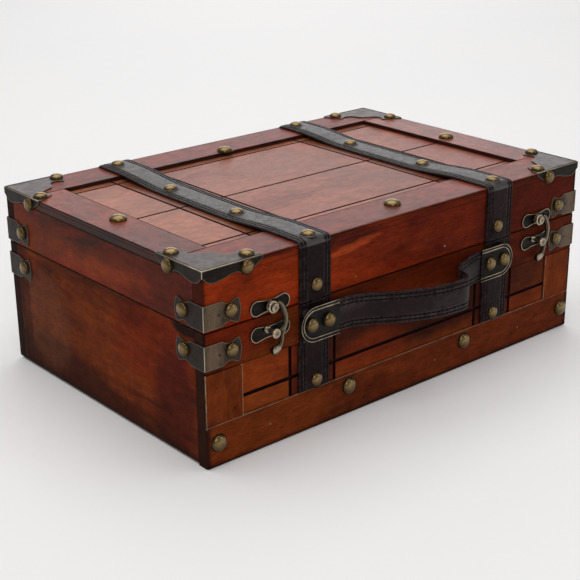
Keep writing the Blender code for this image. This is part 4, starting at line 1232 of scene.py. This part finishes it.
def nail_in_leather(direction, place, number, look):
    """A nail, and the leather squeezed up round it."""
    ring = ((-0.6, -0.3), (1.0, -0.3), (0.9, 0.05), (0.6, 0.35), (0.3, 0.45), (0, 0.38), (-0.6, 0.1))
    profile = [(small_radius + a * mm, b * mm) for a, b in ring]
    # The squeezed ring is marked a little lighter, as a painted highlight round the nail.
    squeezed = mark_all(turned_to(turned(profile, 32), direction, place), 0.25)
    return [(squeezed, look), (small_nail(direction, place, number), 2)]


class CHEST_OT_straps(bpy.types.Operator):
    """Leather straps over the lid and down the base's front"""

    bl_idname = "chest.straps"
    bl_label = "Straps"

    def execute(self, context):
        width, pitch = strap_half * 2, leather().stitch_pitch / 4
        top_look = leather_finish("strap_top_leather", 0.82)
        front_look = leather_finish("strap_front_leather", 0.06)
        edge_look = leather_finish("strap_edge_leather", 0.32)
        on_top, top_thread, _, on_front, on_edge, front_thread = range(6)
        materials = [top_look, thread_finish(), nail_finish(), front_look, edge_look, faded_thread_finish()]
        section = strap_section(width, strap_thickness)
        outer, high, low = gap - front, box_top + gap, panel_top + gap
        points = evenly(self.lid_line(outer, high, low), pitch)
        # Lean of the strap's back end, the lid's nails off their line, and the base's nail off its
        by_hand = (
            (2.5, ((0, 0), (-2, -2), (0, 0), (-0.5, -1.8), (-1.2, -2.2), (0, 0)), (1, -1.5)),
            (3.5, ((0, 0), (0, 1.5), (0, 0), (0, -0.8), (0, -3), (-2.2, 0)), (-1.5, -1.5)),
        )
        for index, side in enumerate(hands):
            middle = strap_middles[index]
            lean, shifts, _ = by_hand[index]

            def leaned(y):
                return lean * mm * min(max((y - inner_front) / (back - inner_front), 0), 1) ** 2

            stations = strap_stations(points, middle)
            for number, point in enumerate(points):
                stations[number] = Matrix.Translation((leaned(point.x), 0, 0)) @ stations[number]
            strap = mark_rubbing_and_highlight(swept(section, stations), 2.2)
            for face in strap.faces:
                centre = face.calc_center_median()
                away = abs(centre.x - middle - leaned(centre.y))
                if centre.z < low - 0.5 * mm:
                    face.material_index = on_front
                elif away > strap_half - leather().inner_row - 0.6 * mm:
                    face.material_index = on_edge
            parts = [(strap, None)]
            for shape in stitches(stations, width, strap_thickness):
                upright = min(vertex.co.z for vertex in shape.verts) < low - 0.5 * mm
                parts.append((shape, front_thread if upright else top_thread))
            surface = high + strap_thickness
            sunk = surface + (low - high) * 0.955
            nails = []
            for way, end in ((1, 95 * mm), (-1, 98.8 * mm)):
                upright = (middle, way * (outer + strap_thickness), lid_bottom + 9.3 * mm)
                nails.append(((0, 0, 1), (middle, way * end, surface)))
                nails.append(((0, 0, 1), (middle, way * 33.5 * mm, sunk)))
                nails.append(((0, way, 0), upright))
            for number, ((direction, place), (dx, dy)) in enumerate(zip(nails, shifts)):
                place = Vector(place) + Vector((dx * mm, dy * mm, 0))
                look = on_front if direction[1] else on_top
                parts += nail_in_leather(direction, place, 28 + 7 * index + number, look)
            node = f"lid_strap_{side}"
            put(node + "_leather", joined(parts), materials, node)

        field, face = front_field - gap, front - gap
        line = [(field, bottom_rail_top + 0.6 * mm), (field, top_rail_bottom - 3.5 * mm)]
        line.append((field - 0.2 * mm, top_rail_bottom - 2.5 * mm))
        line.append((face + 0.2 * mm, top_rail_bottom - 0.4 * mm))
        line += [(face, top_rail_bottom + 0.6 * mm), (face, seam - gap)]
        points = evenly(line[::-1], pitch)
        for index, side in enumerate(hands):
            stations = strap_stations(points, strap_middles[index])
            dx, dz = by_hand[index][2]
            x, z = strap_middles[index] + dx * mm, bottom_rail_top + (7.4 + dz) * mm
            parts = [(mark_rubbing_and_highlight(swept(section, stations), 2.2), on_front)]
            parts += [(shape, front_thread) for shape in stitches(stations, width, strap_thickness)]
            parts += nail_in_leather((0, -1, 0), (x, field - strap_thickness, z), 35 + index, on_front)
            node = f"base_strap_{side}"
            put(node + "_leather", joined(parts), materials, node)
        return {"FINISHED"}

    def lid_line(self, outer, high, low):
        """The path up the back, down into the panel, up again and down the front, as (y, z)."""
        bend, rear_bend = 2.2 * mm, 4.5 * mm
        sag, steps = 38 * mm, 16
        slope = []
        for step in range(steps + 1):
            share = step / steps
            drop = (1 - cos(pi * share)) / 2 * 0.35 + share * 0.65
            slope.append((sag * share, high + (low - high) * drop))
        line = [(outer, lid_bottom + gap), (outer, lid_bottom + 10 * mm)]
        line += arc((outer - rear_bend, high - rear_bend), rear_bend, 0, 0.5, 10)
        line += [(inner_back - y, z) for y, z in slope]
        line += [(inner_front + y, z) for y, z in slope[::-1]]
        line += arc((-outer + bend, high - bend), bend, 0.5, 1, 8)
        return line + [(-outer, lid_bottom + gap)]


# Bronze corners

corners = ("front_left", "front_right", "back_left", "back_right")
fold, upright_fold = 0.5 * mm, 0.2 * mm
cap_leg, cap_flange = 42 * mm, 8.8 * mm
cap_top_shares = [
    (1.0, 0.048), (0.930, 0.170), (0.845, 0.321), (0.780, 0.283),
    (0.700, 0.272), (0.625, 0.300), (0.583, 0.369), (0.514, 0.514),
]
cap_flange_shares = [
    (1.0, 0.28), (0.90, 0.55), (0.80, 0.84), (0.70, 0.93), (0.61, 0.80), (0.55, 0.71),
    (0.46, 0.73), (0.36, 0.86), (0.26, 0.95), (0.16, 1.0), (0.07, 0.86), (0.012, 0.60),
]
bracket_leg, bracket_height = 25.6 * mm, 15.1 * mm
bracket_shares = [
    (0.47, 1.0), (0.55, 0.84), (0.65, 0.73), (0.74, 0.78),
    (0.83, 0.90), (0.925, 0.97), (0.975, 0.55), (1.0, 0.15),
]


def sheet_piece(outline, axis, start, end):
    shape = bevelled(plate(outline, axis, start, end), 0.16 * mm, 2)
    return mark_rubbing_and_highlight(framed(shape, 0.45 * mm, 4e-6), 0.5)


def fold_bar(axis, length_, radius, middle):
    """A bright rod with rounded ends, along an axis, where the sheet is folded."""
    half, small = length_ / 2, radius * 0.6
    profile = [(0, -half), (small, -half), (radius, -half + small)]
    profile += [(radius, half - small), (small, half), (0, half)]
    direction = [1 if axis == name else 0 for name in "XYZ"]
    return mark_all(turned_to(turned(profile, 12), direction, middle), 1.0)


class Corner:
    """An upright corner of the chest, which a node is named for."""

    def __init__(self, node):
        self.sx = -1 if node.endswith("left") else 1
        self.sy = -1 if "_front_" in node else 1

    def at(self, a, b, z):
        """The place that lies a and b inside the corner's two faces."""
        return self.sx * (half_length - a), self.sy * (back - b), z

    def sheets(self, outline):
        """Sheets on both faces, from an outline of (distance from the corner, height)."""
        x, y, _ = self.at(0, 0, 0)
        front_cut = [(x - self.sx * a, z) for a, z in outline]
        side_cut = [(y - self.sy * a, z) for a, z in outline]
        return (
            sheet_piece(front_cut, "Y", y + self.sy * gap, y + self.sy * skin),
            sheet_piece(side_cut, "X", x + self.sx * gap, x + self.sx * skin),
        )

    def outward(self, a, b, z):
        """The way out and the place on each face's sheet, a and b from the corner."""
        yield (0, self.sy, 0), self.at(a, -skin, z)
        yield (self.sx, 0, 0), self.at(-skin, b, z)


class CHEST_OT_caps(bpy.types.Operator):
    """Bronze caps on the lid's corners"""

    bl_idname = "chest.caps"
    bl_label = "Corner caps"

    def execute(self, context):
        # Painted sheen on the caps' tops.
        looks = [bronze_finish("cap_top_bronze_painted_sheen"), nail_finish()]
        looks += [bronze_finish("cap_side_bronze"), bronze_finish("polished_fold")]
        shaped = smooth_pairs(scaled_rows(cap_top_shares, cap_leg, cap_leg))
        rim, over, tall = fold - skin, box_top + skin, cap_flange / 2
        outline = [(rim, rim), (cap_leg, rim)] + shaped
        outline += [(b, a) for a, b in shaped[-2::-1]] + [(rim, cap_leg)]
        lower = smooth_pairs([(a * cap_leg, over - b * cap_flange) for a, b in cap_flange_shares])
        flange = [(cap_leg, over - fold)] + lower
        flange += [(upright_fold - skin, over - tall), (upright_fold - skin, over - fold)]
        run = cap_leg + skin
        inset, along, upright = fold - skin, run / 2 - skin, upright_fold - skin
        far, near, side = 35 * mm, 5.2 * mm, 30.4 * mm
        for number, corner in enumerate(corners):
            node = "lid_corner_cap_" + corner
            place = Corner(node)
            top = [place.at(a, b, 0)[:2] for a, b in outline]
            faces, sides = place.sheets(flange)
            parts = [
                (sheet_piece(top, "Z", box_top + gap, over), 0),
                (faces, 2),
                (sides, 2),
                (fold_bar("X", run, fold, place.at(along, inset, over - fold)), 3),
                (fold_bar("Y", run, fold, place.at(inset, along, over - fold)), 3),
                (fold_bar("Z", tall, upright_fold, place.at(upright, upright, over - tall / 2)), 3),
            ]
            nails = [((0, 0, 1), place.at(far, near, over)), ((0, 0, 1), place.at(near, far, over))]
            nails += place.outward(side, side, box_top - 4.1 * mm)
            for count, (direction, spot) in enumerate(nails):
                parts.append((small_nail(direction, spot, number * 4 + 50 + count), 1))
            put(node + "_bronze", joined(parts), looks, node)
        return {"FINISHED"}


class CHEST_OT_brackets(bpy.types.Operator):
    """Bronze brackets round the upright corners"""

    bl_idname = "chest.brackets"
    bl_label = "Corner brackets"

    def execute(self, context):
        finish = bronze_finish("bracket_bronze", (half_length - 6 * mm, 9 * mm))
        looks = [finish, nail_finish(), plain_finish("pin_hole", "groove", 0.7)]
        looks += [bronze_finish("bracket_side_bronze_painted_shade"), bronze_finish("polished_fold")]
        half, rim = bracket_height / 2, upright_fold - skin
        upper = smooth_pairs(scaled_rows(bracket_shares, bracket_leg, half))
        leg = [(rim, half)] + upper + [(a, -b) for a, b in upper[::-1]] + [(rim, -half)]
        pin = in_metres([(0, -0.1), (0.7, -0.1), (0.7, 0.04), (0, 0.04)])
        nodes = [f"{part}_bracket_{corner}" for part in ("base", "lid") for corner in corners]
        for number, node in enumerate(nodes):
            low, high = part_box(node)
            middle = (low.z + high.z) / 2
            place = Corner(node)
            faces, sides = place.sheets([(a, middle + b) for a, b in leg])
            upright = fold_bar("Z", bracket_height, upright_fold, place.at(rim, rim, middle))
            # The side legs take the darker copy as painted shade.
            parts = [(faces, 0), (sides, 3), (upright, 4)]
            nails = place.outward(18.4 * mm, 17.8 * mm, middle + 0.8 * mm)
            for count, (direction, spot) in enumerate(nails):
                parts.append((small_nail(direction, spot, 80 + number * 2 + count), 1))
            for direction, spot in place.outward(10 * mm, 9.6 * mm, middle):
                parts.append((mark_all(turned_to(turned(pin, 12), direction, spot), 0.0), 2))
            put(node + "_bronze", joined(parts), looks, node)
        return {"FINISHED"}


# Latches

latch_long, latch_tall, latch_waist = 28.9 * mm, 9.4 * mm, 7 * mm
latch_rivet = in_metres([
    (0, 1.1), (3.1, 1.1), (3.4, 1.6), (3.4, 2.4), (3.0, 2.7), (1.2, 2.7),
    (1.2, 5.2), (2.4, 5.2), (2.6, 5.5), (2.5, 6.0), (1.8, 6.4), (0, 6.5),
])
latch_stud = in_metres([
    (0, 1.1), (1.9, 1.1), (2.3, 1.8), (1.9, 2.7), (1.1, 3.1), (1.0, 7.6),
    (1.2, 8.0), (2.6, 8.2), (2.9, 8.7), (2.9, 9.8), (2.5, 10.3), (0, 10.6),
])
hook_ring = in_metres([
    (1.3, 3.1), (3.0, 3.1), (3.7, 3.4), (3.9, 4.0), (3.7, 4.6), (3.1, 4.9), (2.4, 4.8), (1.3, 4.8),
])
# Places of the hook's arm and spur from the rivet as (x, z), with half the width there
hook_arm = in_metres([
    (2.6, 3.0, 1.2), (4.8, 1.4, 1.6), (6.6, -1.5, 1.9), (8.2, -5.3, 2.0), (8.8, -8.8, 2.0),
    (8.3, -12.2, 1.9), (7.1, -15.3, 1.6), (6.2, -17.8, 1.3), (5.9, -20.2, 1.3), (5.4, -22.4, 1.3),
    (4.4, -24.3, 1.5), (3.3, -25.4, 2.3), (2.1, -26.2, 2.9), (0.8, -26.6, 3.0), (-0.5, -26.7, 2.7),
    (-1.5, -26.7, 1.8), (-1.9, -26.7, 0.5),
])
hook_spur = in_metres([(8.8, -10.5, 1.4), (7.6, -13.3, 1.5), (5.2, -14.8, 1.3), (3.0, -15.3, 0.9)])


def joint_place(child):
    """Where the joint of a body is."""
    return next(joint["pos_m"] for joint in frame["joints"] if joint["child"] == child)


def rimmed_plate(outline, start, end, rings):
    """A plate on the front with rims and recesses. A ring is (width, step back, material's number),
    in millimetres."""
    shape = plate(outline, "Y", start, end)
    shape.normal_update()
    face = min(shape.faces, key=lambda f: f.calc_center_median().y)
    for width, back_by, number in rings:
        inset = {"thickness": width * mm, "use_even_offset": True}
        for made_face in bmesh.ops.inset_region(shape, faces=[face], **inset)["faces"]:
            made_face.material_index = number
        if back_by:
            bmesh.ops.translate(shape, verts=face.verts[:], vec=(0, back_by * mm, 0))
    return shape


class CHEST_OT_latches(bpy.types.Operator):
    """Latch plates, swing hooks and studs"""

    bl_idname = "chest.latches"
    bl_label = "Latches"

    def execute(self, context):
        dark, bright = bronze_finish("latch_plate_steel"), bronze_finish("latch_steel")
        looks = [dark, bronze_finish("polished_rim"), dark, bright]
        catch = seam - 10.1 * mm
        for side in hands:
            x, _, pivot = joint_place(f"latch_hook_{side}")
            rows = (
                ("plate", lid_bottom + 5.3 * mm, latch_rivet, x, pivot),
                ("catch", catch, latch_stud, x - 2.7 * mm, catch + 1.8 * mm),
            )
            for kind, z, profile, post_x, post_z in rows:
                post = turned_to(turned(profile, 28), (0, -1, 0), (post_x, front, post_z))
                parts = [(self.plate(x, z), None), (mark_rubbing_and_highlight(post, 0.5), 3)]
                node = f"latch_{kind}_{side}"
                put(node + "_steel", joined(parts), looks, node)
            self.hook(f"latch_hook_{side}", x, pivot, bright)
        return {"FINISHED"}

    def plate(self, x, z):
        """A waisted plate with a thin bright rim round a dark recess."""
        radius = latch_tall / 2
        reach = latch_long / 2 - radius
        waist = [(0.35, 1), (0, 0.98), (-0.35, 1)]
        waist = [(x + reach * a, z + latch_waist / 2 * b) for a, b in waist]
        outline = arc((x + reach, z), radius, -0.6, 0.6, 14) + waist
        outline += arc((x - reach, z), radius, 0.4, 1.6, 14)
        outline += [(a, 2 * z - b) for a, b in waist[::-1]]
        rings = ((0.5, 0, 1), (0.2, 0.6, 2))
        shape = rimmed_plate(outline, front - gap, front - 1.3 * mm, rings)
        return mark_rubbing_and_highlight(bevelled(shape, 0.1 * mm, 2), 0.5)

    def hook(self, node, x, pivot, finish):
        """A swing hook: a ring on the rivet, a curved arm with a spur, and a curled tail."""
        depth, tail_depth = 1.4 * mm, 1.8 * mm
        middle = front - 4.1 * mm

        def painted_highlight(co):
            """Painted highlight along the ridge, brightest on the curled tail."""
            if (middle - co.y) / depth <= 0.9:
                return 0.0
            return 1.0 if pivot - 26.8 * mm < co.z < pivot - 24.5 * mm else 0.5

        ring = turned_to(turned(hook_ring, 32), (0, -1, 0), (x, front, pivot))
        parts = [(mark_rubbing_and_highlight(ring, 0.6), 0)]
        round_section = arc((0, 0), 1.0, 0, 2, 12)[:-1]
        for route in (hook_arm, hook_spur):
            dense = curve_through(route, 4)
            points = [Vector((x + a, middle, pivot + b)) for a, b, _ in dense]
            stations = stations_along(points, lambda run: Vector((0, -1, 0)))
            for index, (_, b, half) in enumerate(dense):
                thick = min(half, tail_depth if b < -25 * mm else depth)
                stations[index] @= Matrix.Diagonal((half, 1, thick, 1))
            parts.append((mark_all(swept(round_section, stations), painted_highlight), 0))
        put(node + "_steel", joined(parts), [finish], node, sharp=60)


# Handle

handle_line = front - gap - strap_thickness - gap - handle_thickness / 2
handle_height, bow_depth = 70 * mm, 25.2 * mm
# Share of the way from plate to plate, and share of the bow's depth
bow_shares = [
    (0.0, 0.0), (0.078, 0.010), (0.149, 0.115), (0.221, 0.298), (0.300, 0.504), (0.387, 0.698),
    (0.467, 0.845), (0.538, 0.940), (0.622, 0.992), (0.669, 1.0), (0.702, 0.933), (0.723, 0.766),
    (0.735, 0.587), (0.757, 0.417), (0.798, 0.274), (0.848, 0.163), (0.911, 0.075), (0.967, 0.015),
    (1.0, 0.0),
]


class CHEST_OT_handle(bpy.types.Operator):
    """Leather handle with its two end plates"""

    bl_idname = "chest.handle"
    bl_label = "Handle"

    def execute(self, context):
        boxes = [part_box(f"handle_plate_{side}") for side in hands]
        self.strap(boxes[0][0].x, boxes[0][1].x, boxes[1][0].x, boxes[1][1].x)
        looks = [bronze_finish("handle_plate_bronze"), bronze_finish("polished_rim"), nail_finish()]
        near = handle_line - handle_thickness / 2 - gap
        far = near - mm
        for index, (low, high) in enumerate(boxes):
            sense = 2 * index - 1
            middle, z = (low.x + high.x) / 2, (low.z + high.z) / 2
            shape = self.plate(middle, z, near, far, sense)
            parts = [(shape, None)]
            for step in (-1, 1):
                spot = (middle + step * 6.7 * mm, far + 0.3 * mm, z)
                parts.append((small_nail((0, -1, 0), spot, 204 + index + step), 2))
            node = f"handle_plate_{hands[index]}"
            put(node + "_bronze", joined(parts), looks, node)
        return {"FINISHED"}

    def strap(self, start, left, right, end):
        """The leather from under one plate, out in a bow, to under the other."""
        under = [(start + 4 * mm, handle_line), (left - 6 * mm, handle_line)]
        bow = [(left + (right - left) * a, handle_line - bow_depth * b) for a, b in bow_shares]
        route = under + bow + [(right + 6 * mm, handle_line), (end - 4 * mm, handle_line)]
        points = []
        for x, y in evenly(curve_through(route, 5), leather().stitch_pitch / 4):
            share = min(max((x - left) / (right - left), 0), 1)
            points.append(Vector((x, y, handle_height - 1.2 * mm * sin(pi * share) ** 2)))
        level = [Vector((x, y, 0)) for x, y, _ in points]
        stations = stations_along(level, lambda run: Vector((run.y, -run.x, 0)))
        for index, point in enumerate(points):
            stations[index].translation = point
            stations[index] @= Matrix.Translation((0, 0, -handle_thickness / 2))
        spots = [
            ((0.040, handle_line - 0.024, 0.066), (0.010, 0.010, 0.010), 0.60),
            ((0.012, handle_line - 0.024, 0.066), (0.020, 0.010, 0.006), 0.20),
            ((-0.060, handle_line, 0.076), (0.012, 0.010, 0.004), 0.30),
        ]
        finish = leather_finish("handle_leather", 0.12, spots)
        section = strap_section(handle_width, handle_thickness)
        parts = [(mark_rubbing_and_highlight(swept(section, stations), 1.6), 0)]
        for shape in stitches(stations, handle_width, handle_thickness, lambda x: left < x < right):
            parts.append((shape, 1))
        materials = [finish, faded_thread_finish()]
        piece = made_piece("handle_leather_strap", joined(parts), materials, 45)
        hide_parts("handle_bow", "handle_end_left", "handle_end_right")
        start, end = (0, handle_line - 1.5 * mm, 0.07), (0, handle_line - 12 * mm, 0.07)
        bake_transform(piece, "base", "handle", start=start, end=end)

    def plate(self, middle, z, near, far, sense):
        """A plate with a double rim that runs off its straight inner end."""
        radius, reach = 11 * mm, 15 * mm
        centre, inner = middle + sense * (reach - radius), middle - sense * 19 * mm
        outline = [(centre + sense * a, z + b) for a, b in arc((0, 0), radius, -0.5, 0.5, 26)]
        outline += [(inner, z + radius), (inner, z - radius)]
        rings = ((0.5, 0, 1), (0.3, 0.4, 0), (1.1, 0, 0), (0.2, -0.3, 1), (0.5, 0, 1), (0.2, 0.5, 0))
        shape = rimmed_plate(outline, near, far, rings)
        geometry = shape.verts[:] + shape.edges[:] + shape.faces[:]
        cut = {"plane_co": (middle - sense * reach, 0, 0), "plane_no": (-sense, 0, 0)}
        result = bmesh.ops.bisect_plane(shape, geom=geometry, clear_outer=True, **cut)
        rim = [item for item in result["geom_cut"] if isinstance(item, bmesh.types.BMEdge)]
        bmesh.ops.contextual_create(shape, geom=rim)
        bmesh.ops.recalc_face_normals(shape, faces=shape.faces)
        return mark_all(bevelled(shape, 0.1 * mm, 2), 0.0)


# Hinges

leaf_half, leaf_thickness, knuckle_half = 13 * mm, 1 * mm, 5.2 * mm
screw_head = in_metres([(0, -0.1), (2.1, -0.1), (2.1, 0.2), (1.6, 0.6), (0, 0.7)])


class CHEST_OT_hinges(bpy.types.Operator):
    """Butt hinges at the back"""

    bl_idname = "chest.hinges"
    bl_label = "Hinges"

    def execute(self, context):
        looks = [bronze_finish("hinge_steel"), bronze_finish("screw_steel")]
        _, axis_y, axis_z = joint_place("lid")
        axis = ((1, 0, 0), (0, axis_y, axis_z))
        near, far = back + gap, back + gap + leaf_thickness
        for side in hands:
            for kind, rise in (("base", -1), ("lid", 1)):
                node = f"hinge_{kind}_leaf_{side}"
                low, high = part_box(node)
                x = (low.x + high.x) / 2
                bottom, top = sorted((axis_z + rise * 2.6 * mm, axis_z + rise * 14 * mm))
                leaf = block((x - leaf_half, near, bottom), (x + leaf_half, far, top))
                framed(bevelled(leaf, 0.3 * mm, 2), 0.5 * mm)
                parts = [(mark_rubbing_and_highlight(leaf, 0.5), 0)]
                spans = [(x - knuckle_half, x + knuckle_half)]
                if kind == "base":
                    spans = [(x - leaf_half, spans[0][0] - gap), (spans[0][1] + gap, x + leaf_half)]
                bottom, top = sorted((axis_z, axis_z + rise * 3.1 * mm))
                for a, b in spans:
                    parts.append((mark_all(block((a, near, bottom), (b, far, top)), 0.0), 0))
                    inner, outer, full, edge = 1.1 * mm, 2.1 * mm, 2.3 * mm, 0.2 * mm
                    profile = [(inner, a), (outer, a), (full, a + edge)]
                    profile += [(full, b - edge), (outer, b), (inner, b)]
                    parts.append((mark_rubbing_and_highlight(turned_to(turned(profile, 28), *axis), 0.6), 0))
                for step in (-1, 1):
                    spot = (x + step * 8 * mm, far, axis_z + rise * 9 * mm)
                    head = turned_to(turned(screw_head, 24), (0, 1, 0), spot)
                    parts.append((mark_rubbing_and_highlight(head, 0.6), 1))
                put(node + "_steel", joined(parts), looks, node)
            node = f"hinge_pin_{side}"
            low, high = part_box(node)
            ends = ((low.x, 1), (high.x, -1))
            start, stop = [[(0, x), (0.9 * mm, x), (mm, x + way * 0.2 * mm)] for x, way in ends]
            pin = turned(start + stop[::-1], 24)
            put(node + "_steel", mark_rubbing_and_highlight(turned_to(pin, *axis), 0.6), looks[:1], node)
        return {"FINISHED"}


# Stage


class CHEST_OT_stage(bpy.types.Operator):
    """Pale floor, soft lights and the camera"""

    bl_idname = "chest.stage"
    bl_label = "Stage"

    def execute(self, context):
        scene, look = context.scene, context.scene.chest_stage
        shape = bmesh.new()
        bmesh.ops.create_grid(shape, x_segments=2, y_segments=2, size=8)
        bmesh.ops.translate(shape, verts=shape.verts, vec=(0, 0, -0.2 * mm))
        s = Shading("pale_floor")
        tone = s.fade(s.noise(3.0, 2), 0.3, 0.7, 0.0, 0.3)
        finish = s.done(s.mix(tone, look.floor, (0.90, 0.90, 0.91)), 0.7)
        made_piece("floor", shape, [finish])

        scene.world = bpy.data.worlds.new("studio")
        scene.world.use_nodes = True
        background = scene.world.node_tree.nodes["Background"]
        background.inputs["Color"].default_value = (1.0, 0.99, 0.99, 1)
        background.inputs["Strength"].default_value = look.sky

        lamps = (
            ("top_light", (0.0, 0.2, 1.9), (2.4, 2.4), look.top, (1.0, 0.99, 0.98)),
            ("back_light", (1.25, 1.45, 0.72), (1.6, 0.9), look.behind, (1.0, 0.98, 0.98)),
            ("key_light", (-0.90, -1.40, 1.10), (0.9, 0.9), look.key, (1.0, 0.97, 0.93)),
            ("fill_light", (1.00, -1.30, 0.60), (0.6, 0.6), look.fill, (1.0, 0.98, 0.96)),
        )
        for name, place, size, power, shade in lamps:
            light = bpy.data.lights.new(name, "AREA")
            light.shape = "RECTANGLE"
            light.size, light.size_y = size
            light.energy = power
            light.color = shade
            thing = bpy.data.objects.new(name, light)
            thing.location = place
            aim = Vector((0, 0, 0.06)) - Vector(place)
            thing.rotation_euler = aim.to_track_quat("-Z", "Y").to_euler()
            scene.collection.objects.link(thing)

        camera = bpy.data.cameras.new("camera")
        camera.lens = look.lens
        camera.sensor_width = 36
        camera.clip_start = 10 * mm
        view = bpy.data.objects.new("camera", camera)
        right = Vector((0.757793, -0.652451, -0.007420))
        down = Vector((-0.243069, -0.271728, -0.931170))
        ahead = Vector((0.605528, 0.707439, -0.364506))
        turn = Matrix((right, -down, -ahead)).transposed().to_4x4()
        view.matrix_world = Matrix.Translation((-0.546293, -0.628591, 0.363618)) @ turn
        scene.collection.objects.link(view)
        scene.camera = view
        scene.view_settings.view_transform = "Standard"
        return {"FINISHED"}


groups = {
    "chest_wood": ChestWood,
    "chest_leather": ChestLeather,
    "chest_metal": ChestMetal,
    "chest_stage": ChestStage,
}
steps = (
    CHEST_OT_stage,
    CHEST_OT_base_boards,
    CHEST_OT_front_frame,
    CHEST_OT_lid_boards,
    CHEST_OT_lid_top,
    CHEST_OT_large_nails,
    CHEST_OT_straps,
    CHEST_OT_caps,
    CHEST_OT_brackets,
    CHEST_OT_latches,
    CHEST_OT_handle,
    CHEST_OT_hinges,
)


class CHEST_PT_panel(bpy.types.Panel):
    """Sizes, colours and steps of the chest"""

    bl_idname = "CHEST_PT_panel"
    bl_label = "Travelling chest"
    bl_space_type = "VIEW_3D"
    bl_region_type = "UI"
    bl_category = "Chest"

    def draw(self, context):
        for name in groups:
            group = getattr(context.scene, name)
            box = self.layout.box()
            for key in group.bl_rna.properties.keys():
                if key not in ("rna_type", "name"):
                    box.prop(group, key)
        for step in steps:
            self.layout.operator(step.bl_idname)


def register():
    for item in (*groups.values(), *steps, CHEST_PT_panel):
        bpy.utils.register_class(item)
    for name, group in groups.items():
        setattr(bpy.types.Scene, name, PointerProperty(type=group))


def unregister():
    for name in groups:
        delattr(bpy.types.Scene, name)
    for item in (CHEST_PT_panel, *steps[::-1], *groups.values()):
        bpy.utils.unregister_class(item)


def main():
    register()
    for step in steps:
        family, name = step.bl_idname.split(".")
        getattr(getattr(bpy.ops, family), name)()


if __name__ == "__main__":
    main()
